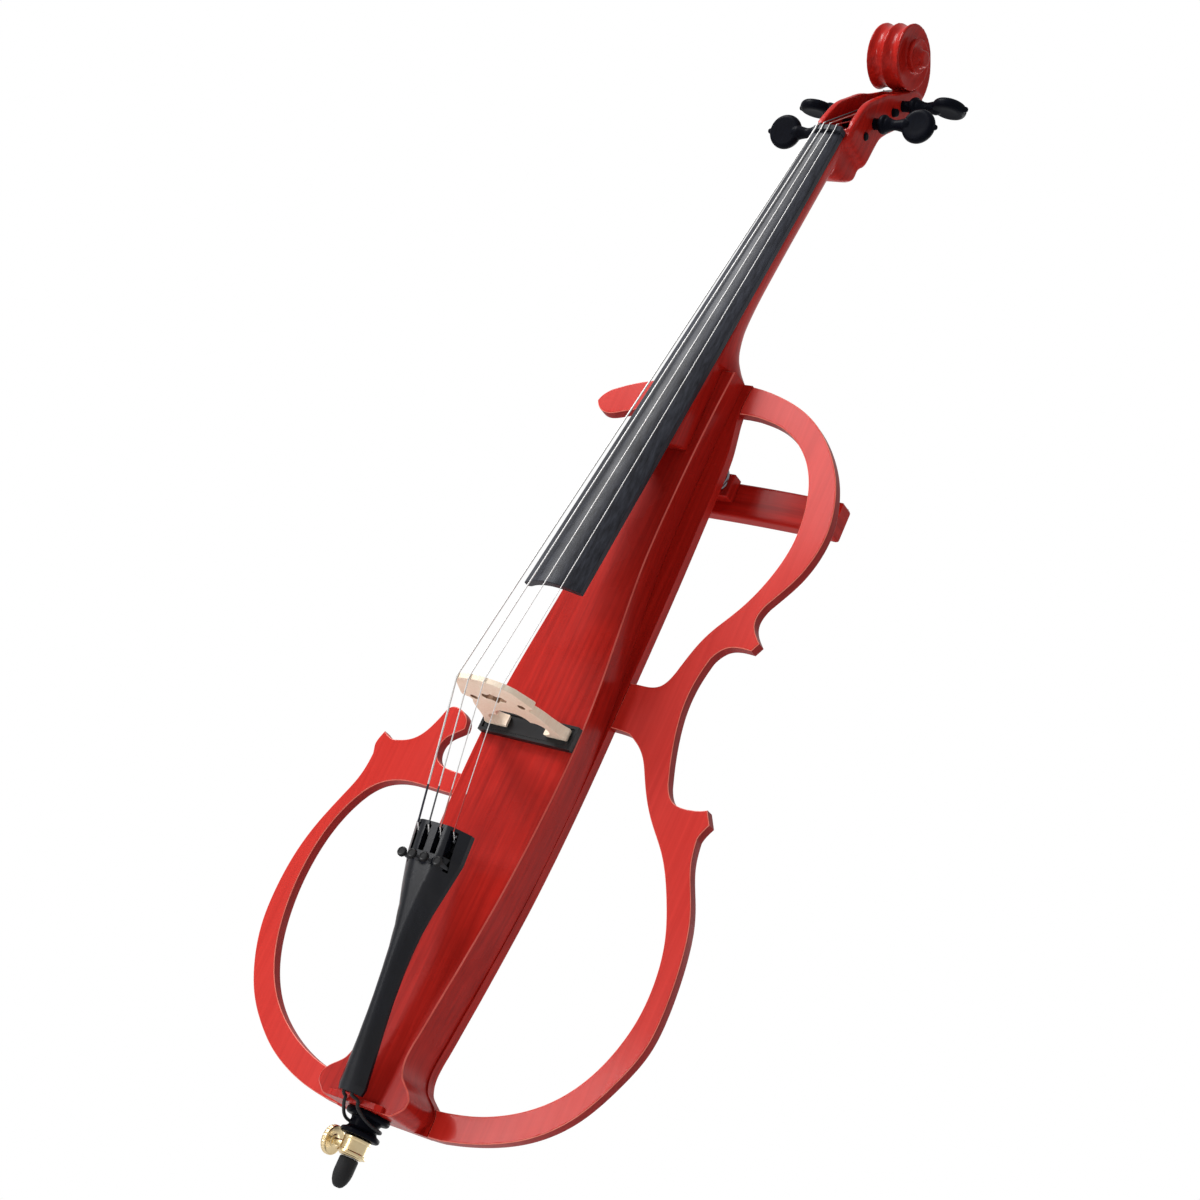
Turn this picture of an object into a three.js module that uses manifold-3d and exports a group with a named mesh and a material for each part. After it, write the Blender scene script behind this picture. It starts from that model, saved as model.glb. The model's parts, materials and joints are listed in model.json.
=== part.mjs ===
// An electric cello: a slim chambered centre body with open side frames that stand for the outline of
// an acoustic cello, a bolted-on neck with a carved scroll, a floating tailpiece with four fine tuners,
// a swing-out chest rest, and a sliding endpin. Millimetres, +Z up, +Y to the back.
// The origin is the small flat at the lower end of the endpin's rubber tip.
import * as THREE from 'three';
import { mergeVertices } from 'three/addons/utils/BufferGeometryUtils.js';
import Module from 'manifold-3d';

const wasm = await Module();
wasm.setup();

// Whole instrument
const bodyLength = 755;
const lowerBoutHalf = 220;
const neckLength = 297;
const tipToBody = 66.4;
const bridgeAboveBody = 362;

// Fits shared by all pieces
const seatGap = 0.3;
const cutOverrun = 3;
const weldTolerance = 0.0001;

// Depths of the centre body, from the endpin's axis
const plateFront = -14;
const plateSlopeShare = 0.0265;
const boardFront = 19;
const boardThickness = 11;
const frontWall = 7;
const sideWall = 9;

// Widths of the centre body
const blockHalf = 52;
const boardHalf = 54;

// Fingerboard
const boardToBridge = 113;
const fingerboardNutHalf = 16;
const fingerboardEndHalf = 31;
const fingerboardEdge = 6.4;
const fingerboardCrown = 3;
const fingerboardEndCrown = 11.5;
const fingerboardArch = 9;
const fingerboardNutTop = 24.5;
const fingerboardEndDrop = 13.5;

// Neck and heel
const neckRootHalf = 43;
const neckRootDepth = 49;
const heelHalf = 22.5;
const heelEndHalf = 25;
const heelLength = 103;
const heelSlant = 12;

// Pegbox and scroll
const headHeight = 178;
const headDepth = 100;
const cheekHalf = 22.5;
const cheekWall = 7.5;
const voluteRadius = 36;
const voluteHalf = 17;
const eyeRadius = 8;
const eyeHalf = 32;
const coreHalf = 25.6;

// Nut
const nutHalf = 16.5;
const nutWidth = 6;

// Pegs
const pegShaftRadius = 5.8;
const pegTipRadius = 4.2;
const pegReach = 24;
const pegCollarRadius = 10;
const pegCollarStart = 27;
const pegCollarLength = 8;
const pegNeckRadius = 6.5;
const pegHeadCentre = 71;
const pegHeadRadius = 18;
const pegHeadThickness = 11;
const pegButtonRadius = 3;

// Bridge, its tray and the pickup strip
const bridgeFootHalf = 45;
const bridgeHeight = 93;
const bridgeFootThickness = 11;
const bridgeTopThickness = 5;
const trayHalf = 51;
const trayLow = 13;
const trayHigh = 10;
const trayDepth = 7;
const trayRim = 3;
const trayFloor = 3.2;
const stripThickness = 2.4;
const stripHalf = 47;

// Strings: spacing at the three supports, and the winding on the pegs
const nutSpacing = 7.33;
const bridgeSpacing = 15.67;
const tailSpacing = 13;
const radiusC = 0.85;
const radiusG = 0.65;
const radiusD = 0.5;
const radiusA = 0.4;
const outerNutY = 18;
const innerNutY = 17;
const bridgeYC = -113;
const bridgeYG = -117;
const bridgeYD = -116;
const bridgeYA = -110;
const coilStartC = 12.2;
const coilStartA = 12.6;
const coilStart = 8;
const windingTurns = 2;
const windingStepsPerTurn = 24;
const windingClearance = 0.5;
const stringSides = 6;
const ballRadius = 2.1;

// Tailpiece
const tailLength = 232;
const tailHalf = 30.5;
const tailDepth = 19;
const tailAboveBody = 6;
const tailCrownWide = -84.2;
const tailCrownNarrow = -46;
const tailFretWidth = 3;
const tailWall = 5;
const cordHoleDepth = 14;

// Fine tuners
const tunerSlotHalf = 3;
const tunerSlotLength = 23;
const tunerPocketLength = 34;
const tunerOuterDrop = 3;
const tunerPivotBelowCrown = 10;
const tunerPivotFromEnd = 17;
const tunerScrewFromPivot = 16;
const leverHalf = 2.5;
const leverFork = 2;
const leverForkSlotHalf = 1.2;
const leverForkReach = 9.5;
const leverForkRise = 10.1;
const leverBarrel = 3.2;
const leverArm = 2.8;
const leverArmTop = 0.9;
const leverArmReach = 19;
const ballSeatRise = 6.6;
const trunnionRadius = 1.5;
const trunnionHalf = 4.2;
const tunerScrewRadius = 2;
const knobRadius = 4.5;
const knobThickness = 4.8;
const knobAboveCrown = 6.7;

// Saddle and tail cord
const saddleHalf = 30;
const saddleHeight = 5.6;
const saddleDepth = 6.1;
const cordRadius = 1.5;
const cordSides = 8;
const cordGrooveDepth = 1.6;
const cordGroovePlace = 7;
const cordLoopAbovePlug = 10.5;

// Endpin, from the tip up
const tipLength = 26;
const tipRadius = 8.5;
const tipFlatRadius = 2.5;
const tipConeRadius = 6.4;
const tipConeLength = 5.2;
const tipRoundLength = 13;
const rodRadius = 5;
const rodInTip = 16;
const rodLength = 425;
const collarBottom = 26.7;
const collarTop = 44.1;
const collarRadius = 13;
const plugBottom = 44.4;
const plugFlange = 5.6;
const plugLowerRadius = 18;
const plugUpperRadius = 20;
const plugNeckRadius = 13;
const plugShankRadius = 11;
const plugShankLength = 30;
const thumbShaftRadius = 3;
const thumbDiscRadius = 13;
const thumbDiscThickness = 5;
const thumbDiscStart = 22;
const thumbLevel = 35.4;

// Chest rest and its swivel
const swivelX = 38;
const swivelBelowBodyTop = 94;
const bracketFlangeRadius = 15;
const bracketFlange = 3;
const bracketBossRadius = 8;
const bracketDepth = 13.4;
const boltRadius = 4;
const wedgeDepth = 13.4;
const wedgeLeft = 22;
const wedgeRight = 51;
const wedgeBelow = 12;
const wedgeAbove = 12;
const restDepth = 17;
const restBelow = 24;
const restAbove = 11;
const restLeft = 10;
const restRight = 160;
const restBow = 7;
const restKnobRadius = 15;
const restKnobDepth = 13;

// Electronics behind the control plate
const plateHalf = 34;
const plateThickness = 2.5;
const plateTopBelowBridge = 42;
const plateLength = 116;
const windowHalf = 26;
const windowMargin = 8;
const screwInset = 4;
const screwRadius = 1.5;
const screwHeadRadius = 3;
const screwHeadThickness = 1.8;
const screwLength = 8;
const knobOffset = 14;
const potBelowPlateTop = 17;
const controlKnobRadius = 8;
const controlKnobTopRadius = 7.2;
const controlKnobDepth = 12;
const controlShaftRadius = 3;
const potHalf = 7;
const potDepth = 8;
const circuitThickness = 1.6;
const circuitHalf = 24;
const circuitHeight = 16;
const circuitBehindAxis = 20.4;
const jackBelowPlateTop = 42;
const jackFlangeRadius = 8;
const jackFlange = 2;
const jackBarrelRadius = 5.7;
const jackDepth = 24;
const outputBoreRadius = 3.3;
const headphoneBoreRadius = 1.9;
const batteryWidth = 48.5;
const batteryHeight = 26.5;
const batteryDepth = 17.5;
const batteryBehindAxis = 12.5;
const batteryBelowPlateTop = 81;
const doorMargin = 2.2;
const leadRadius = 1.2;
const leadHoleX = -30;

// Levels
const bodyBottom = tipToBody;
const bridgeLevel = bodyBottom + bridgeAboveBody;
const bodyTop = bodyBottom + bodyLength;
const nutLevel = bodyTop + neckLength;
const stringLength = nutLevel - bridgeLevel;
const boardLength = stringLength - boardToBridge;
const boardBack = boardFront + boardThickness;
const swivelLevel = bodyTop - swivelBelowBodyTop;
const plateY = (z) => plateFront + plateSlopeShare * (z - bridgeLevel);

// Finishes
const finishes = {
  red: { color: 0xc8202a, roughness: 0.25, metalness: 0 },
  ebony: { color: 0x2b2d33, roughness: 0.5, metalness: 0 },
  black: { color: 0x121216, roughness: 0.35, metalness: 0 },
  maple: { color: 0xe6c79c, roughness: 0.5, metalness: 0 },
  brass: { color: 0xd8bb7a, roughness: 0.3, metalness: 1 },
  steel: { color: 0xb8bbc0, roughness: 0.3, metalness: 1 },
  rubber: { color: 0x1a1a1a, roughness: 0.9, metalness: 0 },
  circuit: { color: 0x1f5a38, roughness: 0.6, metalness: 0 },
  label: { color: 0x55606b, roughness: 0.5, metalness: 0.2 },
};

const cello = new THREE.Group();

// Solids and meshes
function solid(geometry) {
  const bare = new THREE.BufferGeometry();
  bare.setAttribute('position', geometry.getAttribute('position').clone());
  if (geometry.index) bare.setIndex(geometry.index.clone());
  const merged = mergeVertices(bare, weldTolerance);
  const corners = Float32Array.from(merged.getAttribute('position').array);
  const faces = [];
  for (let i = 0; i < merged.index.count; i += 3) {
    const face = [merged.index.getX(i), merged.index.getX(i + 1), merged.index.getX(i + 2)];
    if (new Set(face).size === 3) faces.push(face);
  }
  const at = (index) => new THREE.Vector3().fromArray(corners, index * 3);
  const volume = faces.reduce((sum, [a, b, c]) => sum + at(a).dot(at(b).cross(at(c))), 0);
  const triVerts = Uint32Array.from(faces.flatMap((face) => (volume < 0 ? face.reverse() : face)));
  return new wasm.Manifold(new wasm.Mesh({ numProp: 3, vertProperties: corners, triVerts }));
}

function add(name, shape, finish) {
  const { vertProperties, triVerts } = shape.getMesh();
  const indexed = new THREE.BufferGeometry();
  indexed.setAttribute('position', new THREE.BufferAttribute(new Float32Array(vertProperties), 3));
  indexed.setIndex(Array.from(triVerts));
  const geometry = indexed.toNonIndexed();
  geometry.computeVertexNormals();
  const mesh = new THREE.Mesh(geometry, new THREE.MeshStandardMaterial(finishes[finish]));
  mesh.name = name;
  cello.add(mesh);
}

// Moves every corner of a geometry by a rule
function shaped(geometry, rule) {
  const position = geometry.getAttribute('position');
  for (let i = 0; i < position.count; i += 1) {
    const corner = new THREE.Vector3().fromBufferAttribute(position, i);
    rule(corner);
    position.setXYZ(i, corner.x, corner.y, corner.z);
  }
  return geometry;
}

const leaning = (corner) => {
  corner.y += plateSlopeShare * (corner.z - bridgeLevel);
};

const mix = THREE.MathUtils.lerp;

// Looks up a value in a table of [place, value, ...] rows, straight between the rows
function along(rows, place, column = 1) {
  const last = rows.length - 1;
  const rising = rows[last][0] > rows[0][0];
  const next = rows.findIndex(([at]) => (rising ? at >= place : at <= place));
  if (next === 0) return rows[0][column];
  if (next < 0) return rows[last][column];
  const [before, after] = [rows[next - 1], rows[next]];
  return mix(before[column], after[column], (place - before[0]) / (after[0] - before[0]));
}

function smoothRun(points, steps) {
  const knots = points.map(([a, b]) => new THREE.Vector3(a, b, 0));
  const curve = new THREE.CatmullRomCurve3(knots, false, 'centripetal');
  return curve.getPoints((points.length - 1) * steps).map((point) => [point.x, point.y]);
}

const boxOutline = (left, low, right, high) => [[left, low], [right, low], [right, high], [left, high]];

function circleOutline(centreA, centreB, radius, sides) {
  return Array.from({ length: sides }, (_, i) => {
    const turn = (i / sides) * 2 * Math.PI;
    return [centreA + radius * Math.cos(turn), centreB + radius * Math.sin(turn)];
  });
}

// Grows a closed outline outwards by a distance
function grown(outline, distance) {
  const area = outline.reduce((sum, [a, b], i) => {
    const [c, d] = outline[(i + 1) % outline.length];
    return sum + a * d - b * c;
  }, 0);
  const side = Math.sign(area);
  const normalOf = ([a, b], [c, d]) => {
    const length = Math.hypot(c - a, d - b);
    return [side * (d - b) / length, side * (a - c) / length];
  };
  return outline.map((point, i) => {
    const before = outline[(i + outline.length - 1) % outline.length];
    const after = outline[(i + 1) % outline.length];
    const [m, n] = [normalOf(before, point), normalOf(point, after)];
    const reach = distance / (1 + m[0] * n[0] + m[1] * n[1]);
    return [point[0] + reach * (m[0] + n[0]), point[1] + reach * (m[1] + n[1])];
  });
}

function extruded(outline, depth, holes = []) {
  const corners = outline.map(([a, b]) => new THREE.Vector2(a, b));
  if (THREE.ShapeUtils.isClockWise(corners)) corners.reverse();
  const shape = new THREE.Shape(corners);
  shape.holes = holes.map((hole) => new THREE.Path(hole.map(([a, b]) => new THREE.Vector2(a, b))));
  return new THREE.ExtrudeGeometry(shape, { depth, bevelEnabled: false });
}

// An outline in X and Z, from a front to a back
function slabY(outline, front, back, holes) {
  return extruded(outline, back - front, holes).rotateX(Math.PI / 2).translate(0, back, 0);
}

// An outline in Y and Z, from the left to the right
function slabX(outline, left, right, holes) {
  const axes = [new THREE.Vector3(0, 1, 0), new THREE.Vector3(0, 0, 1), new THREE.Vector3(1, 0, 0)];
  const turned = new THREE.Matrix4().makeBasis(...axes);
  return extruded(outline, right - left, holes).applyMatrix4(turned).translate(left, 0, 0);
}

// An outline in X and Y, from a low to a high level
function slabZ(outline, low, high, holes) {
  return extruded(outline, high - low, holes).translate(0, 0, low);
}

const block = (left, front, low, right, back, high) => (
  solid(slabY(boxOutline(left, low, right, high), front, back)));

// A turned piece: profile rows are [radius, place along the axis]
function turned(profile, sides = 24) {
  return new THREE.LatheGeometry(profile.map(([radius, place]) => new THREE.Vector2(radius, place)), sides);
}

const turnedX = (profile, sides) => turned(profile, sides).rotateZ(-Math.PI / 2);
const turnedY = (profile, sides) => turned(profile, sides);
const turnedZ = (profile, sides) => turned(profile, sides).rotateX(Math.PI / 2);

const rodProfile = (radius, from, to) => [[0, from], [radius, from], [radius, to], [0, to]];

function ringProfile(inner, outer, from, to) {
  return [[inner, from], [outer, from], [outer, to], [inner, to], [inner, from]];
}

const pinX = (radius, left, right, y, z, sides = 16) => (
  solid(turnedX(rodProfile(radius, left, right), sides).translate(0, y, z)));
const pinY = (radius, front, back, x, z, sides = 16) => (
  solid(turnedY(rodProfile(radius, front, back), sides).translate(x, 0, z)));
const pinZ = (radius, low, high, x, y, sides = 16) => (
  solid(turnedZ(rodProfile(radius, low, high), sides).translate(x, y, 0)));

// Joins rings of equally many corners into one closed skin, with a fan over each end
function lofted(rings) {
  const count = rings[0].length;
  const corners = rings.flat();
  const faces = [];
  for (let ring = 0; ring + 1 < rings.length; ring += 1) {
    for (let i = 0; i < count; i += 1) {
      const here = ring * count + i;
      const beside = ring * count + ((i + 1) % count);
      faces.push(here, beside, beside + count, here, beside + count, here + count);
    }
  }
  const cover = (start, flipped) => {
    const flat = rings[start / count];
    const middle = flat.reduce((sum, corner) => sum.add(corner), new THREE.Vector3()).divideScalar(count);
    const tip = corners.push(middle) - 1;
    for (let i = 0; i < count; i += 1) {
      const [here, beside] = [start + i, start + ((i + 1) % count)];
      faces.push(...(flipped ? [tip, beside, here] : [tip, here, beside]));
    }
  };
  cover(0, true);
  cover((rings.length - 1) * count, false);
  const geometry = new THREE.BufferGeometry();
  geometry.setAttribute('position', new THREE.Float32BufferAttribute(corners.flatMap((c) => c.toArray()), 3));
  geometry.setIndex(faces);
  return geometry;
}

// A route through given points, one step to each
class Route extends THREE.Curve {
  constructor(points) {
    super();
    this.points = points;
  }

  getPoint(t) {
    const place = Math.min(t, 1) * (this.points.length - 1);
    const before = Math.min(Math.floor(place), this.points.length - 2);
    return this.points[before].clone().lerp(this.points[before + 1], place - before);
  }

  getPointAt(u) {
    return this.getPoint(u);
  }

  getTangentAt(u) {
    const here = Math.round(u * (this.points.length - 1));
    const ahead = Math.min(here + 1, this.points.length - 1);
    const behind = Math.max(here - 1, 0);
    const arriving = this.points[here].clone().sub(this.points[behind]).normalize();
    const leaving = this.points[ahead].clone().sub(this.points[here]).normalize();
    return arriving.add(leaving).normalize();
  }
}

function tube(points, radius, sides) {
  const round = circleOutline(0, 0, radius, sides);
  const section = new THREE.Shape(round.map(([a, b]) => new THREE.Vector2(a, b)));
  return new THREE.ExtrudeGeometry(section, { steps: points.length - 1, extrudePath: new Route(points) });
}

// Centre body: [height share, half-width share of the block, half-width share of the back board]
const bodyShares = [
  [0, 0.70, 0.93],
  [0.012, 0.91, 0.93],
  [0.024, 0.93, 0.92],
  [0.034, 0.82, 0.83],
  [0.046, 0.62, 0.62],
  [0.066, 0.53, 0.535],
  [0.10, 0.58, 0.585],
  [0.16, 0.69, 0.69],
  [0.22, 0.80, 0.785],
  [0.29, 0.905, 0.88],
  [0.37, 0.975, 0.945],
  [0.46, 1, 0.98],
  [0.55, 0.92, 0.99],
  [0.63, 0.79, 1],
  [0.72, 0.655, 1],
  [0.81, 0.62, 0.98],
  [0.90, 0.63, 0.945],
  [0.945, 0.65, 0.835],
  [0.97, 0.67, 0.80],
  [1, 0.69, 0.835],
];

const bodyLevel = (share) => bodyBottom + share * bodyLength;

function bodyOutline(column, half) {
  const right = smoothRun(bodyShares.map((row) => [row[column] * half, bodyLevel(row[0])]), 2);
  const left = right.map(([x, z]) => [-x, z]).reverse();
  return [...right, ...left];
}

const blockOutline = bodyOutline(1, blockHalf);
const boardOutline = bodyOutline(2, boardHalf);
const chamberShares = { low: 0.10, high: 0.80, lastRow: 0.82 };

function chamberOutline() {
  const rows = bodyShares.filter(([share]) => share >= chamberShares.low && share <= chamberShares.lastRow);
  const right = rows.map(([share, half]) => (
    [half * blockHalf - sideWall, bodyLevel(Math.min(share, chamberShares.high))]));
  return [...right, ...right.map(([x, z]) => [-x, z]).reverse()];
}

const screwPlaces = [-1, 1].flatMap((side) => [-1, 1].map((end) => ({
  name: `plate_screw_${end > 0 ? 'upper' : 'lower'}_${side > 0 ? 'right' : 'left'}`,
  x: side * (plateHalf - screwInset),
  z: bridgeLevel - plateTopBelowBridge - (end > 0 ? screwInset : plateLength - screwInset),
})));

function addCentreBody() {
  const front = boardFront - seatGap;
  const shell = slabY(blockOutline, plateFront, front);
  shaped(shell, (corner) => {
    if (corner.y < 0) corner.y = plateY(corner.z);
  });
  const chamber = slabY(chamberOutline(), plateFront, boardFront + cutOverrun);
  shaped(chamber, (corner) => {
    if (corner.y < 0) corner.y = plateY(corner.z) + frontWall;
  });
  const shankTop = bodyBottom + plugShankLength + seatGap;
  const shank = pinZ(plugShankRadius + seatGap, bodyBottom - cutOverrun, shankTop, 0, 0);
  const rodWay = pinZ(rodRadius + seatGap, bodyBottom, bodyLevel(chamberShares.low) + cutOverrun, 0, 0);
  const leadFront = plateY(bridgeLevel) - cutOverrun;
  const leadWay = pinY(leadRadius + seatGap, leadFront, 0, leadHoleX, bridgeLevel, cordSides);
  const body = solid(shell).subtract(solid(chamber)).subtract(shank).subtract(rodWay).subtract(leadWay);
  add('centre_body', body, 'red');
}

function plateWindow() {
  const top = bridgeLevel - plateTopBelowBridge - windowMargin;
  const bottom = bridgeLevel - plateTopBelowBridge - plateLength + windowMargin;
  return block(-windowHalf, boardFront - cutOverrun, bottom, windowHalf, boardBack + cutOverrun, top);
}

function addBackBoard() {
  let board = solid(slabY(boardOutline, boardFront, boardBack)).subtract(plateWindow());
  const far = boardBack + cutOverrun;
  for (const { x, z } of screwPlaces) {
    board = board.subtract(pinY(screwRadius + seatGap, boardBack - screwLength, far, x, z, 12));
  }
  const boltWay = pinY(boltRadius + seatGap, boardFront - cutOverrun, far, swivelX, swivelLevel);
  add('back_board', board.subtract(boltWay), 'red');
}

// Side frames: rows are [share of the lower bout's half-width, share of the body length]
const upperBoutShares = [
  [0.14, 1.0], [0.205, 0.999], [0.386, 0.988], [0.559, 0.964], [0.705, 0.922], [0.800, 0.874],
  [0.845, 0.813], [0.795, 0.752], [0.700, 0.710], [0.681, 0.687], [0.745, 0.661],
];
const waistShares = [
  [0.723, 0.650], [0.600, 0.647], [0.545, 0.621], [0.523, 0.572], [0.550, 0.525], [0.600, 0.474],
  [0.641, 0.452], [0.700, 0.444], [0.795, 0.446], [0.823, 0.449],
];
const rightLowerShares = [
  [0.859, 0.432], [0.829, 0.413], [0.836, 0.392], [0.880, 0.361], [0.945, 0.323], [0.986, 0.260],
  [0.991, 0.175], [0.945, 0.138], [0.840, 0.082], [0.714, 0.044], [0.564, 0.021], [0.418, 0.008],
  [0.291, 0.001], [0.15, 0],
];
const lowerWindowShares = [
  [0.15, 0.032], [0.236, 0.032], [0.418, 0.040], [0.514, 0.050], [0.641, 0.070], [0.764, 0.102],
  [0.855, 0.150], [0.905, 0.207], [0.892, 0.272], [0.823, 0.327], [0.714, 0.384], [0.586, 0.424],
  [0.495, 0.466], [0.441, 0.498], [0.377, 0.514], [0.282, 0.519], [0.18, 0.519],
];
const upperWindowShares = [
  [0.18, 0.580], [0.300, 0.580], [0.395, 0.584], [0.436, 0.612], [0.480, 0.655], [0.590, 0.697],
  [0.668, 0.746], [0.709, 0.801], [0.682, 0.861], [0.613, 0.906], [0.500, 0.937], [0.391, 0.952],
  [0.245, 0.958], [0.14, 0.958],
];
const leftLowerShares = [
  [0.850, 0.430], [0.832, 0.415], [0.834, 0.393], [0.877, 0.363], [0.923, 0.332], [0.977, 0.289],
  [1.0, 0.236], [0.993, 0.179], [0.955, 0.140], [0.868, 0.091], [0.768, 0.061], [0.650, 0.034],
  [0.500, 0.015], [0.368, 0.005], [0.227, 0.001], [0.15, 0],
];
const leftWindowShares = [
  [0.15, 0.032], [0.236, 0.032], [0.418, 0.040], [0.514, 0.050], [0.641, 0.070], [0.755, 0.098],
  [0.845, 0.138], [0.895, 0.185], [0.916, 0.245], [0.891, 0.307], [0.832, 0.350], [0.755, 0.380],
  [0.691, 0.391], [0.600, 0.395], [0.486, 0.393], [0.350, 0.392], [0.18, 0.392],
];
const hookShares = [
  [0.18, 0.420], [0.345, 0.420], [0.386, 0.419], [0.455, 0.423], [0.510, 0.432], [0.523, 0.449],
  [0.495, 0.464], [0.437, 0.476], [0.446, 0.489], [0.515, 0.501], [0.560, 0.499], [0.579, 0.488],
  [0.605, 0.465], [0.645, 0.450], [0.700, 0.442], [0.773, 0.441], [0.827, 0.449],
];
const hornShares = [
  [0.14, 0.998], [0.205, 0.996], [0.323, 0.988], [0.436, 0.977], [0.509, 0.964], [0.534, 0.951],
  [0.500, 0.938], [0.441, 0.934], [0.350, 0.943], [0.245, 0.951], [0.14, 0.953],
];

function sideOutline(runs, side) {
  const points = runs.flatMap((run) => smoothRun(run, 2));
  return points.map(([across, up]) => [side * across * lowerBoutHalf, bodyLevel(up)]);
}

function addSideFrame(name, runs, side) {
  const frame = solid(slabY(sideOutline(runs, side), boardFront, boardBack));
  const seat = solid(slabY(grown(boardOutline, seatGap), boardFront - cutOverrun, boardBack + cutOverrun));
  add(name, frame.subtract(seat), 'red');
}

function addSideFrames() {
  const rightOuter = [upperBoutShares, waistShares, rightLowerShares];
  addSideFrame('right_wing', [...rightOuter, lowerWindowShares, upperWindowShares], 1);
  addSideFrame('left_wing', [hookShares, leftLowerShares, leftWindowShares], -1);
  addSideFrame('left_horn', [hornShares], -1);
}

// Fingerboard: a wedge that widens towards the bridge, crowned above and hollowed under its free end
const fingerboardRise = (innerNutY - bridgeYG) / stringLength - fingerboardEndDrop / boardLength;
const fingerboardTop = (z) => fingerboardNutTop - fingerboardRise * (nutLevel - z);
const fingerboardUnder = (z) => fingerboardTop(z) + fingerboardEdge;
const archShares = [[0, 0], [0.7, 0], [0.73, 0.6], [1, 1]];

function fingerboardRing(share) {
  const z = nutLevel - seatGap - share * (boardLength - seatGap);
  const half = mix(fingerboardNutHalf, fingerboardEndHalf, share);
  const crown = mix(fingerboardCrown, fingerboardEndCrown, share);
  const arch = fingerboardArch * along(archShares, share);
  const top = fingerboardTop(z);
  const over = [-1, -0.75, -0.5, -0.25, 0, 0.25, 0.5, 0.75, 1].map((across) => (
    new THREE.Vector3(across * half, top - crown * (1 - across * across), z)));
  const under = [1, 0.78, 0.4, 0, -0.4, -0.78, -1].map((across) => {
    const lift = Math.abs(across) > 0.8 ? 0 : arch * (1 - across * across);
    return new THREE.Vector3(across * half, top + fingerboardEdge - lift, z);
  });
  return [...over, ...under];
}

function addFingerboard() {
  const board = lofted([0, 0.35, 0.7, 0.73, 1].map(fingerboardRing));
  add('fingerboard', solid(board), 'ebony');
}

// Neck: [share of the length, back half-width, front half-width, depth, squareness of the section]
const neckShares = [
  [0, 1.0, 0.51, 1.0, 5],
  [0.015, 0.90, 0.53, 0.985, 4.5],
  [0.04, 0.74, 0.55, 0.95, 4],
  [0.075, 0.60, 0.545, 0.86, 3.2],
  [0.115, 0.53, 0.53, 0.75, 2.8],
  [0.19, 0.47, 0.49, 0.63, 2.5],
  [0.36, 0.435, 0.455, 0.53, 2.4],
  [1, 0.345, 0.36, 0.43, 2.4],
];
const neckSectionSteps = 12;

function neckRing([share, back, front, depth, squareness]) {
  const z = bodyTop + seatGap + share * (neckLength - seatGap);
  const yFront = fingerboardUnder(z) + seatGap;
  return Array.from({ length: neckSectionSteps + 1 }, (_, i) => {
    const turn = (i / neckSectionSteps) * Math.PI;
    const across = Math.sign(Math.cos(turn)) * Math.abs(Math.cos(turn)) ** (2 / squareness);
    const inward = Math.abs(Math.sin(turn)) ** (2 / squareness);
    const half = neckRootHalf * mix(front, back, inward);
    return new THREE.Vector3(across * half, yFront + inward * depth * neckRootDepth, z);
  });
}

function heel() {
  const low = bodyTop - heelLength;
  const high = bodyTop + heelSlant;
  const outline = [
    [fingerboardUnder(high) + seatGap, high],
    [fingerboardUnder(low) + seatGap, low],
    [plateY(low + heelSlant) - seatGap, low + heelSlant],
    [plateY(bodyTop) - seatGap, bodyTop],
    [plateY(bodyTop) - seatGap, high],
  ];
  const wedge = slabX(outline, -1, 1);
  return solid(shaped(wedge, (corner) => {
    corner.x *= mix(heelHalf, heelEndHalf, Math.max(0, (bodyTop - corner.z) / heelLength));
  }));
}

// Pegbox: [depth share from the nut's seat, height share above the nut], from the front edge round the back
const headOrigin = fingerboardUnder(nutLevel);
const headFrontShares = [
  [0.003, 0], [0.003, 0.038], [-0.01, 0.067], [0.04, 0.197], [0.11, 0.292], [0.24, 0.382],
  [0.37, 0.466], [0.50, 0.523], [0.68, 0.618], [0.84, 0.70],
];
const headBackShares = [
  [1.0, 0.73], [1.033, 0.685], [0.98, 0.61], [0.91, 0.534], [0.72, 0.36], [0.62, 0.292],
  [0.52, 0.208], [0.48, 0.084], [0.50, 0.022], [0.56, 0], [0.56, -0.056], [0.41, -0.146],
  [0.26, -0.197], [0.155, -0.253], [0.05, -0.253],
];
const cheekShares = [
  [-0.253, 0.62], [-0.197, 0.66], [-0.056, 0.84], [0.022, 1], [0.10, 1], [0.70, 0.71], [0.73, 0.71],
];
const mortiseShares = [
  [-0.4, 0.062], [0.37, 0.062], [0.391, 0.146], [0.431, 0.230], [0.531, 0.320], [0.636, 0.388],
  [0.826, 0.562], [0.80, 0.601], [0.1, 0.601],
];

const headPoint = ([depth, height]) => [headOrigin + depth * headDepth, nutLevel + height * headHeight];
const cheekAt = (z) => cheekHalf * along(cheekShares, (z - nutLevel) / headHeight);

function pegbox() {
  const outline = [...headFrontShares, ...headBackShares].map(headPoint);
  const cheeks = shaped(slabX(outline, -1, 1), (corner) => {
    corner.x *= cheekAt(corner.z);
  });
  const mortise = shaped(slabX(mortiseShares.map(headPoint), -1, 1), (corner) => {
    corner.x *= cheekAt(corner.z) - cheekWall;
  });
  return solid(cheeks).subtract(solid(mortise));
}

// Scroll: [turns from the back, radius share, half-width share]
const voluteShares = [
  [-0.08, 1.48, 0.86], [0, 1.34, 0.90], [0.1, 1.14, 0.95], [0.25, 1.01, 1.0], [0.5, 1.0, 1.06],
  [0.75, 0.96, 1.12], [1, 0.77, 1.28], [1.25, 0.62, 1.36], [1.5, 0.54, 1.42], [1.75, 0.45, 1.5],
  [2, 0.36, 1.6],
];
const voluteCentre = { depthShare: 0.54, heightShare: 0.798 };
const voluteStepsPerTurn = 20;
const voluteCoreShare = 0.3;

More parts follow.
